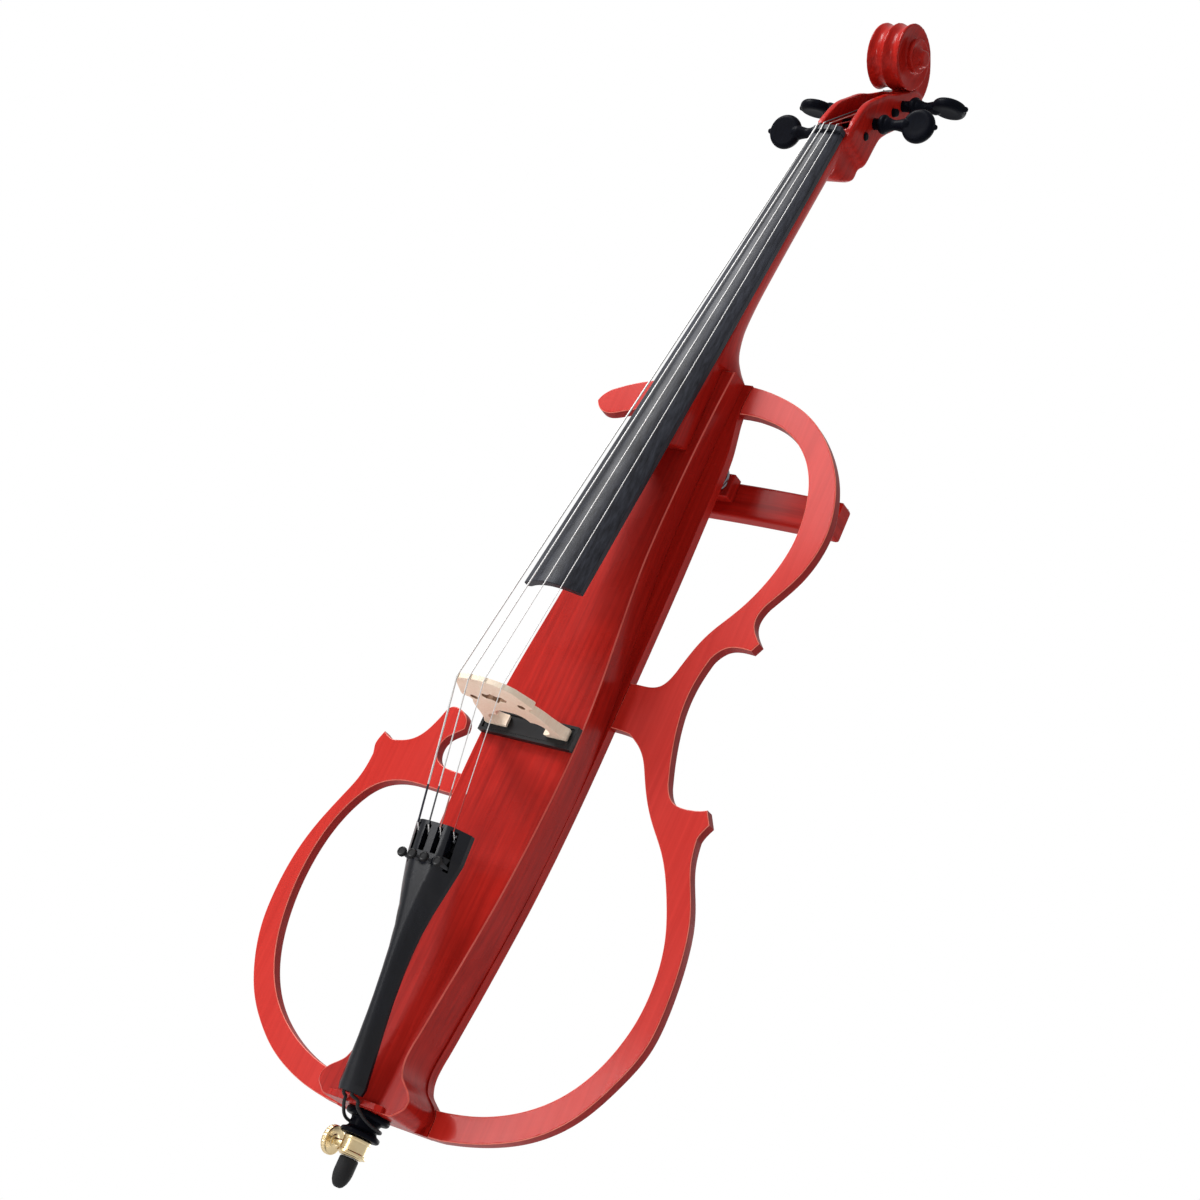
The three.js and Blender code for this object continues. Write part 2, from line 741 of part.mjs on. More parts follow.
function voluteTurns(from, to) {
  const [y, z] = headPoint([voluteCentre.depthShare, voluteCentre.heightShare]);
  const steps = Math.round((to - from) * voluteStepsPerTurn);
  const rings = Array.from({ length: steps + 1 }, (_, i) => {
    const turn = mix(from, to, i / steps);
    const outer = voluteRadius * along(voluteShares, turn);
    const half = voluteHalf * along(voluteShares, turn, 2);
    const [forth, up] = [Math.cos(turn * 2 * Math.PI), Math.sin(turn * 2 * Math.PI)];
    const corner = (x, reach) => new THREE.Vector3(x, y + forth * reach, z + up * reach);
    const inner = voluteCoreShare * voluteRadius * Math.min(1, outer / voluteRadius);
    return [corner(-half, inner), corner(half, inner), corner(half, outer), corner(-half, outer)];
  });
  return solid(lofted(rings));
}

function scroll() {
  const [y, z] = headPoint([voluteCentre.depthShare, voluteCentre.heightShare]);
  const core = pinX(voluteRadius * voluteCoreShare + seatGap, -coreHalf, coreHalf, y, z, 20);
  const eye = pinX(eyeRadius, -eyeHalf, eyeHalf, y, z, 16);
  const quarters = [[-0.08, 0.5], [0.5, 1.25], [1.25, 2]].map(([from, to]) => voluteTurns(from, to));
  return quarters.reduce((sum, part) => sum.add(part), core.add(eye));
}

// Pegs: side of the head, and the axis as depth and height shares of the head
const pegs = [
  { name: 'peg_c', side: -1, depth: 0.247, height: 0.118, headTurn: 20 },
  { name: 'peg_g', side: -1, depth: 0.572, height: 0.427, headTurn: 105 },
  { name: 'peg_d', side: 1, depth: 0.702, height: 0.528, headTurn: 100 },
  { name: 'peg_a', side: 1, depth: 0.319, height: 0.236, headTurn: 15 },
];
for (const peg of pegs) [peg.y, peg.z] = headPoint([peg.depth, peg.height]);

const pegRadiusAt = (reach) => mix(pegTipRadius, pegShaftRadius, (reach + pegReach) / (2 * pegReach));

function addNeck() {
  let neck = solid(lofted(neckShares.map(neckRing))).add(heel()).add(pegbox()).add(scroll());
  for (const { side, y, z } of pegs) {
    const bore = [[0, -pegReach - cutOverrun], [pegTipRadius + seatGap, -pegReach - cutOverrun],
      [pegTipRadius + seatGap, -pegReach], [pegShaftRadius + seatGap, pegReach],
      [pegShaftRadius + seatGap, pegCollarStart], [0, pegCollarStart]];
    neck = neck.subtract(solid(turnedX(bore, 16).scale(side, 1, 1).translate(0, y, z)));
  }
  add('neck', neck, 'red');
}

function addPeg({ name, side, y, z, headTurn }) {
  const headStart = pegHeadCentre - pegHeadRadius;
  const profile = [
    [0, -pegReach], [pegTipRadius, -pegReach], [pegShaftRadius, pegReach],
    [pegNeckRadius, pegCollarStart], [pegCollarRadius, pegCollarStart + pegCollarLength / 2],
    [pegCollarRadius, pegCollarStart + pegCollarLength], [pegNeckRadius, headStart - pegCollarLength],
    [pegNeckRadius, headStart + pegCollarLength], [0, headStart + pegCollarLength],
  ];
  const half = pegHeadThickness / 2;
  const flat = pegHeadRadius - pegHeadThickness / 3;
  const disc = turnedY([[0, -half], [flat, -half], [pegHeadRadius, 0], [flat, half], [0, half]], 20)
    .translate(pegHeadCentre, 0, 0);
  const tip = pegHeadCentre + pegHeadRadius;
  const button = turnedX([[0, tip - pegButtonRadius], [pegButtonRadius, tip - pegButtonRadius],
    [pegButtonRadius, tip + pegButtonRadius], [0, tip + pegButtonRadius]], 8);
  const shaft = turnedX(profile, 16);
  const parts = [shaft, disc, button].map((part) => solid(part.rotateX(THREE.MathUtils.degToRad(headTurn))
    .scale(side, 1, 1).translate(0, y, z)));
  add(name, parts.reduce((sum, part) => sum.add(part)), 'black');
}

// Strings: radius, place in string spacings from the middle, supports, and where the winding starts across
const strings = [
  { name: 'string_c', radius: radiusC, place: -1.5, nutY: outerNutY, bridgeY: bridgeYC, start: coilStartC },
  { name: 'string_g', radius: radiusG, place: -0.5, nutY: innerNutY, bridgeY: bridgeYG, start: coilStart },
  { name: 'string_d', radius: radiusD, place: 0.5, nutY: innerNutY, bridgeY: bridgeYD, start: coilStart },
  { name: 'string_a', radius: radiusA, place: 1.5, nutY: outerNutY, bridgeY: bridgeYA, start: coilStartA },
];

// Tailpiece: [share of the length, half-width, top facet's half-width, depth]
const tailShares = [
  [0, 1.0, 0.55, 1.0], [0.11, 0.955, 0.55, 0.98], [0.24, 0.72, 0.53, 0.85], [0.31, 0.575, 0.52, 0.81],
  [0.39, 0.455, 0.52, 0.76], [0.47, 0.38, 0.52, 0.73], [0.55, 0.345, 0.52, 0.70], [0.65, 0.33, 0.52, 0.68],
  [0.76, 0.36, 0.52, 0.66], [0.89, 0.42, 0.52, 0.63], [0.975, 0.465, 0.52, 0.60], [1.0, 0.415, 0.52, 0.56],
];
const tailSideShare = 0.72;
const tailBottom = bodyBottom + tailAboveBody;
const tailTop = tailBottom + tailLength;
const tailShareAt = (z) => (tailTop - z) / tailLength;
const tailCrown = (z) => mix(tailCrownWide, tailCrownNarrow, tailShareAt(z));

// Height of the tailpiece's surface at a place across it
function tailSurface(x, z) {
  const share = tailShareAt(z);
  const half = tailHalf * along(tailShares, share);
  const facet = half * along(tailShares, share, 2);
  const drop = tailDepth * along(tailShares, share, 3) * tailSideShare;
  return tailCrown(z) + drop * Math.max(0, (Math.abs(x) - facet) / (half - facet));
}

function tailRing([share, halfShare, facetShare, depthShare]) {
  const z = tailTop - share * tailLength;
  const half = tailHalf * halfShare;
  const facet = half * facetShare;
  const depth = tailDepth * depthShare;
  const crown = tailCrown(z);
  return [
    [-facet, crown], [facet, crown], [half, crown + depth * tailSideShare], [half, crown + depth],
    [-half, crown + depth], [-half, crown + depth * tailSideShare],
  ].map(([x, y]) => new THREE.Vector3(x, y, z));
}

// Fine tuners: a lever, its screw and a knob under each string's end
const tunerPivotZ = tailTop - tunerPivotFromEnd;
const tunerScrewZ = tunerPivotZ - tunerScrewFromPivot;
const tuners = strings.map(({ name, place }) => {
  const drop = Math.abs(place) > 1 ? tunerOuterDrop : 0;
  return {
    tag: name.slice(-1),
    x: place * tailSpacing,
    pivotY: tailCrown(tunerPivotZ) + tunerPivotBelowCrown + drop,
    drop,
  };
});
const ballPlace = { y: ballSeatRise, z: leverForkReach - seatGap - ballRadius };

function addTailpiece() {
  let tailpiece = solid(lofted(tailShares.map(tailRing)));
  for (const { x, pivotY, drop } of tuners) {
    const slotTop = tailTop - tailFretWidth;
    const crown = tailCrown(slotTop);
    const floor = tailCrownNarrow;
    const pocketTop = tailCrown(tunerPivotZ) + tailWall + drop;
    const slot = block(x - tunerSlotHalf, crown - cutOverrun, slotTop - tunerSlotLength,
      x + tunerSlotHalf, floor, slotTop);
    const pocket = block(x - tunerSlotHalf, pocketTop, slotTop - tunerPocketLength,
      x + tunerSlotHalf, floor, slotTop);
    const screwHole = pinY(tunerScrewRadius + seatGap, crown - cutOverrun, pocketTop + cutOverrun,
      x, tunerScrewZ);
    const seat = pinX(trunnionRadius + seatGap, x - trunnionHalf - seatGap, x + trunnionHalf + seatGap,
      pivotY, tunerPivotZ, 12);
    tailpiece = tailpiece.subtract(slot).subtract(pocket).subtract(screwHole).subtract(seat);
  }
  for (const side of [-1, 1]) {
    tailpiece = tailpiece.subtract(pinZ(cordRadius + seatGap, tailBottom - cutOverrun,
      tailBottom + cordHoleDepth + seatGap, side * tailCordStart.x, tailCordStart.y, 12));
  }
  add('tailpiece', tailpiece, 'black');
}

function addTuner({ tag, x, pivotY, drop }) {
  const outline = [
    [-leverForkRise, leverForkReach + leverFork], [0, leverForkReach + leverFork],
    [leverArmTop + leverArm, leverForkReach - leverFork], [leverArmTop + leverArm, -leverArmReach],
    [leverArmTop, -leverArmReach], [leverArmTop, -leverBarrel - seatGap], [-leverBarrel, -leverFork],
    [-leverBarrel, leverForkReach], [-leverForkRise, leverForkReach],
  ];
  const lever = solid(slabX(outline, -leverHalf, leverHalf).translate(x, pivotY, tunerPivotZ));
  const forkZ = tunerPivotZ + leverForkReach;
  const forkSlot = block(x - leverForkSlotHalf, pivotY - leverForkRise - cutOverrun, forkZ - seatGap,
    x + leverForkSlotHalf, pivotY - leverBarrel, forkZ + leverFork + seatGap);
  const trunnion = pinX(trunnionRadius, x - trunnionHalf, x + trunnionHalf, pivotY, tunerPivotZ, 12);
  add(`tuner_lever_${tag}`, lever.subtract(forkSlot).add(trunnion), 'steel');
  const screwEnd = pivotY + leverArmTop - seatGap;
  const knobUnder = tailCrown(tunerScrewZ) + drop - knobAboveCrown;
  const knobTop = knobUnder - knobThickness;
  const boreTop = knobTop + knobThickness / 3;
  add(`tuner_screw_${tag}`, pinY(tunerScrewRadius, boreTop + seatGap, screwEnd, x, tunerScrewZ, 12), 'steel');
  const knob = turnedY([
    [0, knobTop], [knobRadius, knobTop], [knobRadius, knobUnder], [tunerScrewRadius + seatGap, knobUnder],
    [tunerScrewRadius + seatGap, boreTop], [0, boreTop],
  ], 12);
  add(`tuner_knob_${tag}`, solid(knob.translate(x, 0, tunerScrewZ)), 'black');
}

// An outer string crosses the tailpiece's sloping side, so it lies this much higher over it
const slopeLiftShare = 1.45;

// Route of one string: its ball in the tuner's fork, bridge, nut, and the turns on its peg
function stringRoute({ radius, place, nutY, bridgeY, start }, peg, tuner) {
  const tailX = place * tailSpacing;
  const lift = radius + seatGap;
  const tailLift = lift * (tuner.drop > 0 ? slopeLiftShare : 1);
  const overFret = (z) => new THREE.Vector3(tailX, tailSurface(tailX, z) - tailLift, z);
  const ball = new THREE.Vector3(tailX, tuner.pivotY - ballPlace.y, tunerPivotZ + ballPlace.z);
  const nutFront = new THREE.Vector3(place * nutSpacing, nutY, nutLevel);
  const nutBack = new THREE.Vector3(place * nutSpacing, nutY, nutLevel + nutWidth + radius);
  const coilRadius = pegRadiusAt(start) + lift;
  const [toY, toZ] = [peg.y - nutBack.y, peg.z - nutBack.z];
  const distance = Math.hypot(toY, toZ);
  const lean = Math.atan2(toZ, toY) + Math.asin(coilRadius / distance);
  const first = lean + Math.PI / 2;
  const pitch = 2 * radius + windingClearance;
  const steps = windingTurns * windingStepsPerTurn;
  const winding = Array.from({ length: steps + 1 }, (_, i) => {
    const turns = i / windingStepsPerTurn;
    const angle = first - turns * 2 * Math.PI;
    return new THREE.Vector3(peg.side * (start - turns * pitch),
      peg.y + coilRadius * Math.cos(angle), peg.z + coilRadius * Math.sin(angle));
  });
  const bridgeEdges = [-1, 1].map((side) => (
    new THREE.Vector3(place * bridgeSpacing, bridgeY, bridgeLevel + side * bridgeTopThickness / 2)));
  return [ball, overFret(tailTop - tailFretWidth - 2 * seatGap), overFret(tailTop), ...bridgeEdges,
    nutFront, nutBack, ...winding];
}

// Least gap of a winding to itself, measured on its centre line
function leastGap(points, radius) {
  const winding = points.slice(-windingTurns * windingStepsPerTurn);
  let least = Infinity;
  winding.forEach((point, i) => {
    winding.slice(i + windingStepsPerTurn / 2).forEach((other) => {
      least = Math.min(least, point.distanceTo(other) - 2 * radius);
    });
  });
  return least;
}

function addStrings() {
  strings.forEach((string, i) => {
    const route = stringRoute(string, pegs[i], tuners[i]);
    const ball = new THREE.SphereGeometry(ballRadius, 8, 6).translate(...route[0].toArray());
    add(string.name, solid(tube(route, string.radius, stringSides)).add(solid(ball)), 'steel');
    console.log(`${string.name}: least gap between turns ${leastGap(route, string.radius).toFixed(2)} mm`);
  });
}

function addNut() {
  const bottom = fingerboardUnder(nutLevel);
  const crown = strings.map(({ place, nutY, radius }) => [place * nutSpacing, nutY + radius + seatGap]);
  const [left, right] = [crown[0], crown[crown.length - 1]];
  const edge = nutHalf - nutSpacing * 1.5;
  const outline = [[-nutHalf, bottom], [nutHalf, bottom], [nutHalf, right[1] + edge / 3],
    ...crown.reverse(), [-nutHalf, left[1] + edge / 3]];
  add('nut', solid(slabZ(outline, nutLevel, nutLevel + nutWidth)), 'black');
}

// Saddle: a low ridge on the plate's lower edge, with a groove for each leg of the cord
function addSaddle() {
  const back = plateFront + plateSlopeShare * -bridgeAboveBody - seatGap;
  const front = back - saddleDepth;
  const notch = (x) => {
    const half = cordRadius + 2 * seatGap;
    const floor = front + cordGrooveDepth;
    return [[x + half, front], [x + half, floor], [x - half, floor], [x - half, front]];
  };
  const outline = [[-saddleHalf, back], [saddleHalf, back], [saddleHalf, back - saddleDepth / 2],
    [saddleHalf - saddleDepth, front], ...notch(cordGroovePlace), ...notch(-cordGroovePlace),
    [-saddleHalf + saddleDepth, front], [-saddleHalf, back - saddleDepth / 2]];
  const saddle = slabZ(outline, bodyBottom, bodyBottom + saddleHeight);
  add('saddle', solid(shaped(saddle, (corner) => {
    corner.y += plateSlopeShare * (corner.z - bodyBottom);
  })), 'red');
}

// Tail cord: from the tailpiece over the saddle, round the plug's neck and back
const cordRoute = [
  [4.4, -40.2, 86], [4.4, -40.2, 71.6], [5.2, -37.6, 70.3], [6.3, -34.2, 69.8],
  [7, -31.4, 68.6], [7.3, -30.5, 65.9], [8, -28.3, 63.4], [9.4, -24.4, 61.0], [11.6, -18.6, 58.0],
  [13.9, -11.2, 55.9], [14.9, -5.4, 55.1],
];
const tailCordStart = { x: cordRoute[0][0], y: cordRoute[0][1] };
const cordLoopSteps = 14;

function addTailCord() {
  const right = cordRoute.map((point) => new THREE.Vector3(...point));
  const left = right.map((point) => new THREE.Vector3(-point.x, point.y, point.z)).reverse();
  const radius = plugNeckRadius + cordRadius + 2 * seatGap;
  const level = plugBottom + cordLoopAbovePlug;
  const loop = Array.from({ length: cordLoopSteps + 1 }, (_, i) => {
    const turn = (i / cordLoopSteps) * Math.PI;
    return new THREE.Vector3(radius * Math.cos(turn), radius * Math.sin(turn), level);
  });
  add('tail_cord', solid(tube([...right, ...loop, ...left], cordRadius, cordSides)), 'black');
}

// Bridge: right half of the outline, [share of the foot half-width, share of the height], feet first
const bridgeSideShares = [
  [0.49, 0], [1, 0], [1.01, 0.045], [0.95, 0.10], [0.86, 0.25], [0.82, 0.38], [0.76, 0.48], [0.70, 0.535],
  [0.74, 0.575], [0.85, 0.60], [0.87, 0.63], [0.82, 0.70], [0.74, 0.80], [0.68, 0.875],
];
const bridgeArchShares = [[0.49, 0], [0.46, 0.06], [0.42, 0.20], [0.37, 0.33], [0.24, 0.39], [0, 0.405]];
const bridgeHeartShares = [
  [0, 0.58], [0.10, 0.63], [0.24, 0.63], [0.30, 0.67], [0.24, 0.73], [0.12, 0.72], [0, 0.76],
];
const bridgeKidney = { acrossShare: 0.58, heightShare: 0.60, radiusShare: 0.085 };

function addBridge() {
  const feetY = plateFront - seatGap - trayFloor - seatGap - stripThickness - seatGap;
  const place = ([across, up]) => [across * bridgeFootHalf, feetY - up * bridgeHeight];
  const flip = ([x, y]) => [-x, y];
  const crown = strings.map((s) => [s.place * bridgeSpacing, s.bridgeY + s.radius + seatGap]).reverse();
  const right = bridgeSideShares.map(place);
  const arch = bridgeArchShares.map(place).reverse();
  const outline = [...right, ...crown, ...right.map(flip).reverse(), ...arch.map(flip).reverse().slice(1, -1),
    ...arch.slice(0, -1)];
  const heart = bridgeHeartShares.map(place);
  const holes = [[...heart, ...heart.slice(1, -1).map(flip).reverse()]];
  for (const side of [-1, 1]) {
    const [x, y] = place([side * bridgeKidney.acrossShare, bridgeKidney.heightShare]);
    holes.push(circleOutline(x, y, bridgeKidney.radiusShare * bridgeFootHalf, 10));
  }
  const plank = slabZ(outline, -1, 1, holes);
  add('bridge', solid(shaped(plank, (corner) => {
    const height = (feetY - corner.y) / bridgeHeight;
    const half = mix(bridgeFootThickness, bridgeTopThickness, Math.min(1, height)) / 2;
    corner.z = bridgeLevel + corner.z * half;
    corner.y += plateSlopeShare * (corner.z - bridgeLevel);
  })), 'maple');
}

// Tray under the bridge's feet, with a rim round the pickup strip
function addPickup() {
  const back = plateFront - seatGap;
  const front = back - trayDepth;
  const [low, high] = [bridgeLevel - trayLow, bridgeLevel + trayHigh];
  const leaningBlock = (...box) => {
    const [left, near, bottom, right, far, top] = box;
    return solid(shaped(slabY(boxOutline(left, bottom, right, top), near, far), leaning));
  };
  const tray = leaningBlock(-trayHalf, front, low, trayHalf, back, high);
  const pocket = leaningBlock(-trayHalf + trayRim, front - cutOverrun, low + trayRim, trayHalf - trayRim,
    back - trayFloor, high - trayRim);
  const leadWay = pinY(leadRadius + seatGap, front, back + cutOverrun, leadHoleX, bridgeLevel, cordSides);
  add('pickup_tray', tray.subtract(pocket).subtract(leadWay), 'black');
  const stripHeight = (trayLow + trayHigh) / 2 - trayRim - seatGap;
  const middle = (low + high) / 2;
  const stripBack = back - trayFloor - seatGap;
  add('pickup_strip', leaningBlock(-stripHalf, stripBack - stripThickness, middle - stripHeight,
    stripHalf, stripBack, middle + stripHeight), 'steel');
}

// Endpin: plug in the tail block, clamp collar, thumbscrew, sliding rod and rubber tip
function addEndpin() {
  const bore = rodRadius + seatGap;
  const plugTop = bodyBottom - seatGap;
  const plug = turnedZ([
    [bore, plugBottom], [plugLowerRadius, plugBottom], [plugLowerRadius, plugBottom + plugFlange],
    [plugNeckRadius, plugBottom + plugFlange], [plugNeckRadius, plugTop - plugFlange],
    [plugUpperRadius, plugTop - plugFlange], [plugUpperRadius, plugTop], [plugShankRadius, plugTop],
    [plugShankRadius, bodyBottom + plugShankLength], [bore, bodyBottom + plugShankLength], [bore, plugBottom],
  ], 24);
  add('endpin_plug', solid(plug), 'black');
  const collar = solid(turnedZ(ringProfile(bore, collarRadius, collarBottom, collarTop), 24));
  const thumbHole = pinX(thumbShaftRadius + seatGap, -collarRadius - cutOverrun, 0, 0, thumbLevel);
  add('endpin_collar', collar.subtract(thumbHole), 'brass');
  const thumbscrew = turnedX([
    [0, -rodRadius - seatGap], [thumbShaftRadius, -rodRadius - seatGap], [thumbShaftRadius, -thumbDiscStart],
    [thumbDiscRadius, -thumbDiscStart], [thumbDiscRadius, -thumbDiscStart - thumbDiscThickness],
    [0, -thumbDiscStart - thumbDiscThickness],
  ], 24).translate(0, 0, thumbLevel);
  add('endpin_thumbscrew', solid(thumbscrew), 'brass');
  const rodBottom = tipLength - rodInTip;
  add('endpin_rod', pinZ(rodRadius, rodBottom, rodBottom + rodLength, 0, 0, 24), 'steel');
  const tip = turnedZ([
    [0, 0], [tipFlatRadius, 0], [tipConeRadius, tipConeLength], [tipRadius, tipRoundLength],
    [tipRadius, tipLength], [bore, tipLength], [bore, rodBottom - seatGap], [0, rodBottom - seatGap],
  ], 24);
  add('endpin_tip', solid(tip), 'rubber');
}

// Chest rest: a bowed bar that swivels on a clamped bolt behind the body
function addChestRest() {
  const faceOne = boardBack + seatGap;
  const faceTwo = faceOne + bracketDepth + seatGap;
  const faceThree = faceTwo + wedgeDepth + seatGap;
  const bore = boltRadius + seatGap;
  const bracket = turnedY([
    [bore, faceOne], [bracketFlangeRadius, faceOne], [bracketFlangeRadius, faceOne + bracketFlange],
    [bracketBossRadius, faceOne + bracketFlange], [bracketBossRadius, faceOne + bracketDepth],
    [bore, faceOne + bracketDepth], [bore, faceOne],
  ], 24).translate(swivelX, 0, swivelLevel);
  add('rest_bracket', solid(bracket), 'steel');
  const wedgeOutline = boxOutline(wedgeLeft, swivelLevel - wedgeBelow, wedgeRight, swivelLevel + wedgeAbove);
  const boltHole = circleOutline(swivelX, swivelLevel, bore, 16);
  add('rest_wedge', solid(slabY(wedgeOutline, faceTwo, faceTwo + wedgeDepth, [boltHole])), 'red');
  const bow = (x) => restBow * ((x - swivelX) / (restRight - swivelX)) ** 2;
  const ribShares = [0.35, 0.5, 0.65, 0.8, 0.92, 1];
  const xs = [restLeft, swivelX, ...ribShares.map((share) => mix(restLeft, restRight, share))];
  const nearEdge = xs.map((x) => [x, faceThree + (x > wedgeRight ? bow(x) : 0)]);
  const farEdge = xs.map((x) => [x, faceThree + restDepth + (x > wedgeRight ? bow(x) : 0)]).reverse();
  const bar = solid(slabZ([...nearEdge, ...farEdge], swivelLevel - restBelow, swivelLevel + restAbove));
  const barBack = faceThree + restDepth;
  const barHole = pinY(bore, faceThree - cutOverrun, barBack + cutOverrun, swivelX, swivelLevel);
  add('chest_rest', bar.subtract(barHole), 'red');
  const knobFront = barBack + seatGap;
  const boltEnd = knobFront + restKnobDepth / 2;
  add('rest_bolt', pinY(boltRadius, boardFront + seatGap, boltEnd, swivelX, swivelLevel, 16), 'steel');
  const knob = turnedY([
    [bore, knobFront], [restKnobRadius, knobFront], [restKnobRadius, knobFront + restKnobDepth],
    [0, knobFront + restKnobDepth], [0, boltEnd + seatGap], [bore, boltEnd + seatGap], [bore, knobFront],
  ], 20).translate(swivelX, 0, swivelLevel);
  add('rest_knob', solid(knob), 'black');
}

// Controls: a plate over the window in the back board, with its knobs, jacks, battery and circuit
const controlTop = bridgeLevel - plateTopBelowBridge;
const plateNear = boardBack + seatGap;
const plateFar = plateNear + plateThickness;
const doorHalf = batteryWidth / 2 + doorMargin;
const doorTop = controlTop - batteryBelowPlateTop + doorMargin;
const doorBottom = controlTop - batteryBelowPlateTop - batteryHeight - doorMargin;
const controls = [
  { name: 'volume_knob', side: -1 },
  { name: 'tone_knob', side: 1 },
];
const jacks = [
  { name: 'headphone_jack', side: -1, bore: headphoneBoreRadius },
  { name: 'output_jack', side: 1, bore: outputBoreRadius },
];

function addControlPlate() {
  const outline = boxOutline(-plateHalf, controlTop - plateLength, plateHalf, controlTop);
  const plate = slabY(outline, plateNear, plateFar);
  const hole = (radius, x, z) => pinY(radius + seatGap, plateNear - cutOverrun, plateFar + cutOverrun, x, z);
  let result = solid(plate).subtract(block(-doorHalf - seatGap, plateNear - cutOverrun, doorBottom - seatGap,
    doorHalf + seatGap, plateFar + cutOverrun, doorTop + seatGap));
  for (const { x, z } of screwPlaces) result = result.subtract(hole(screwRadius, x, z));
  for (const side of [-1, 1]) {
    result = result.subtract(hole(controlShaftRadius, side * knobOffset, controlTop - potBelowPlateTop));
    result = result.subtract(hole(jackBarrelRadius, side * knobOffset, controlTop - jackBelowPlateTop));
  }
  add('control_plate', result, 'black');
  const door = block(-doorHalf, plateNear, doorBottom, doorHalf, plateFar, doorTop);
  add('battery_door', door, 'black');
  for (const { name, x, z } of screwPlaces) {
    const headNear = plateFar + seatGap;
    const screw = turnedY([
      [0, boardBack - screwLength + seatGap], [screwRadius, boardBack - screwLength + seatGap],
      [screwRadius, headNear], [screwHeadRadius, headNear], [screwHeadRadius, headNear + screwHeadThickness],
      [0, headNear + screwHeadThickness],
    ], 12).translate(x, 0, z);
    add(name, solid(screw), 'steel');
  }
}

function addControls() {
  const potZ = controlTop - potBelowPlateTop;
  const circuitBack = circuitBehindAxis + circuitThickness;
  const potBack = circuitBack + potDepth;
  for (const { name, side } of controls) {
    const near = plateFar + seatGap;
    const knob = turnedY([
      [0, circuitBack + seatGap], [controlShaftRadius, circuitBack + seatGap], [controlShaftRadius, near],
      [controlKnobRadius, near], [controlKnobTopRadius, near + controlKnobDepth],
      [0, near + controlKnobDepth],
    ], 20).translate(side * knobOffset, 0, potZ);
    add(name, solid(knob), 'black');
  }
  let circuit = block(-circuitHalf, circuitBehindAxis, potZ - circuitHeight / 2, circuitHalf, circuitBack,
    potZ + circuitHeight / 2);
  for (const { side } of controls) {
    const x = side * knobOffset;
    circuit = circuit.add(block(x - potHalf, circuitBehindAxis + circuitThickness / 2, potZ - potHalf,
      x + potHalf, potBack, potZ + potHalf));
    const shaftWay = pinY(controlShaftRadius + seatGap, circuitBack, potBack + cutOverrun, x, potZ);
    circuit = circuit.subtract(shaftWay);
  }
  add('preamp_board', circuit, 'circuit');
  for (const { name, side, bore } of jacks) {
    const near = plateFar + seatGap;
    const far = near + jackFlange;
    const floor = far - jackDepth + jackFlange;
    const jack = turnedY([
      [0, far - jackDepth], [jackBarrelRadius, far - jackDepth], [jackBarrelRadius, near],
      [jackFlangeRadius, near], [jackFlangeRadius, far], [bore, far], [bore, floor], [0, floor],
    ], 20).translate(side * knobOffset, 0, controlTop - jackBelowPlateTop);
    add(name, solid(jack), 'steel');
  }
  const batteryTop = controlTop - batteryBelowPlateTop;
  add('battery', block(-batteryWidth / 2, batteryBehindAxis, batteryTop - batteryHeight, batteryWidth / 2,
    batteryBehindAxis + batteryDepth, batteryTop), 'label');
}

// Lead from the pickup strip, through the tray and the plate, to the circuit
function addPickupLead() {
  const route = [
    [-30, -17.2, 428.4], [-30, -12, 428.4], [-30, -5, 428.2], [-30, 0, 425.5], [-29.4, 3.4, 420],
    [-28, 5.4, 410], [-25, 6.6, 398], [-21.5, 7.4, 388], [-19, 8.8, 378], [-18.3, 11.6, 372.6],
    [-18, 15.5, 370.2], [-18, 20.1, 369.4],
  ].map((point) => new THREE.Vector3(...point));
  add('pickup_lead', solid(tube(route, leadRadius, cordSides)), 'black');
}

addCentreBody();
addBackBoard();
addSideFrames();
addNeck();
addFingerboard();
addNut();
addSaddle();
addPickup();
addBridge();
addTailpiece();
tuners.forEach(addTuner);
addTailCord();
pegs.forEach(addPeg);
addStrings();
addEndpin();
addChestRest();
addControlPlate();
addControls();
addPickupLead();

export default cello;
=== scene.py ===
import json
import math

import bmesh
import bpy
from bpy.props import FloatProperty, FloatVectorProperty, IntProperty, PointerProperty
from mathutils import Matrix, Vector

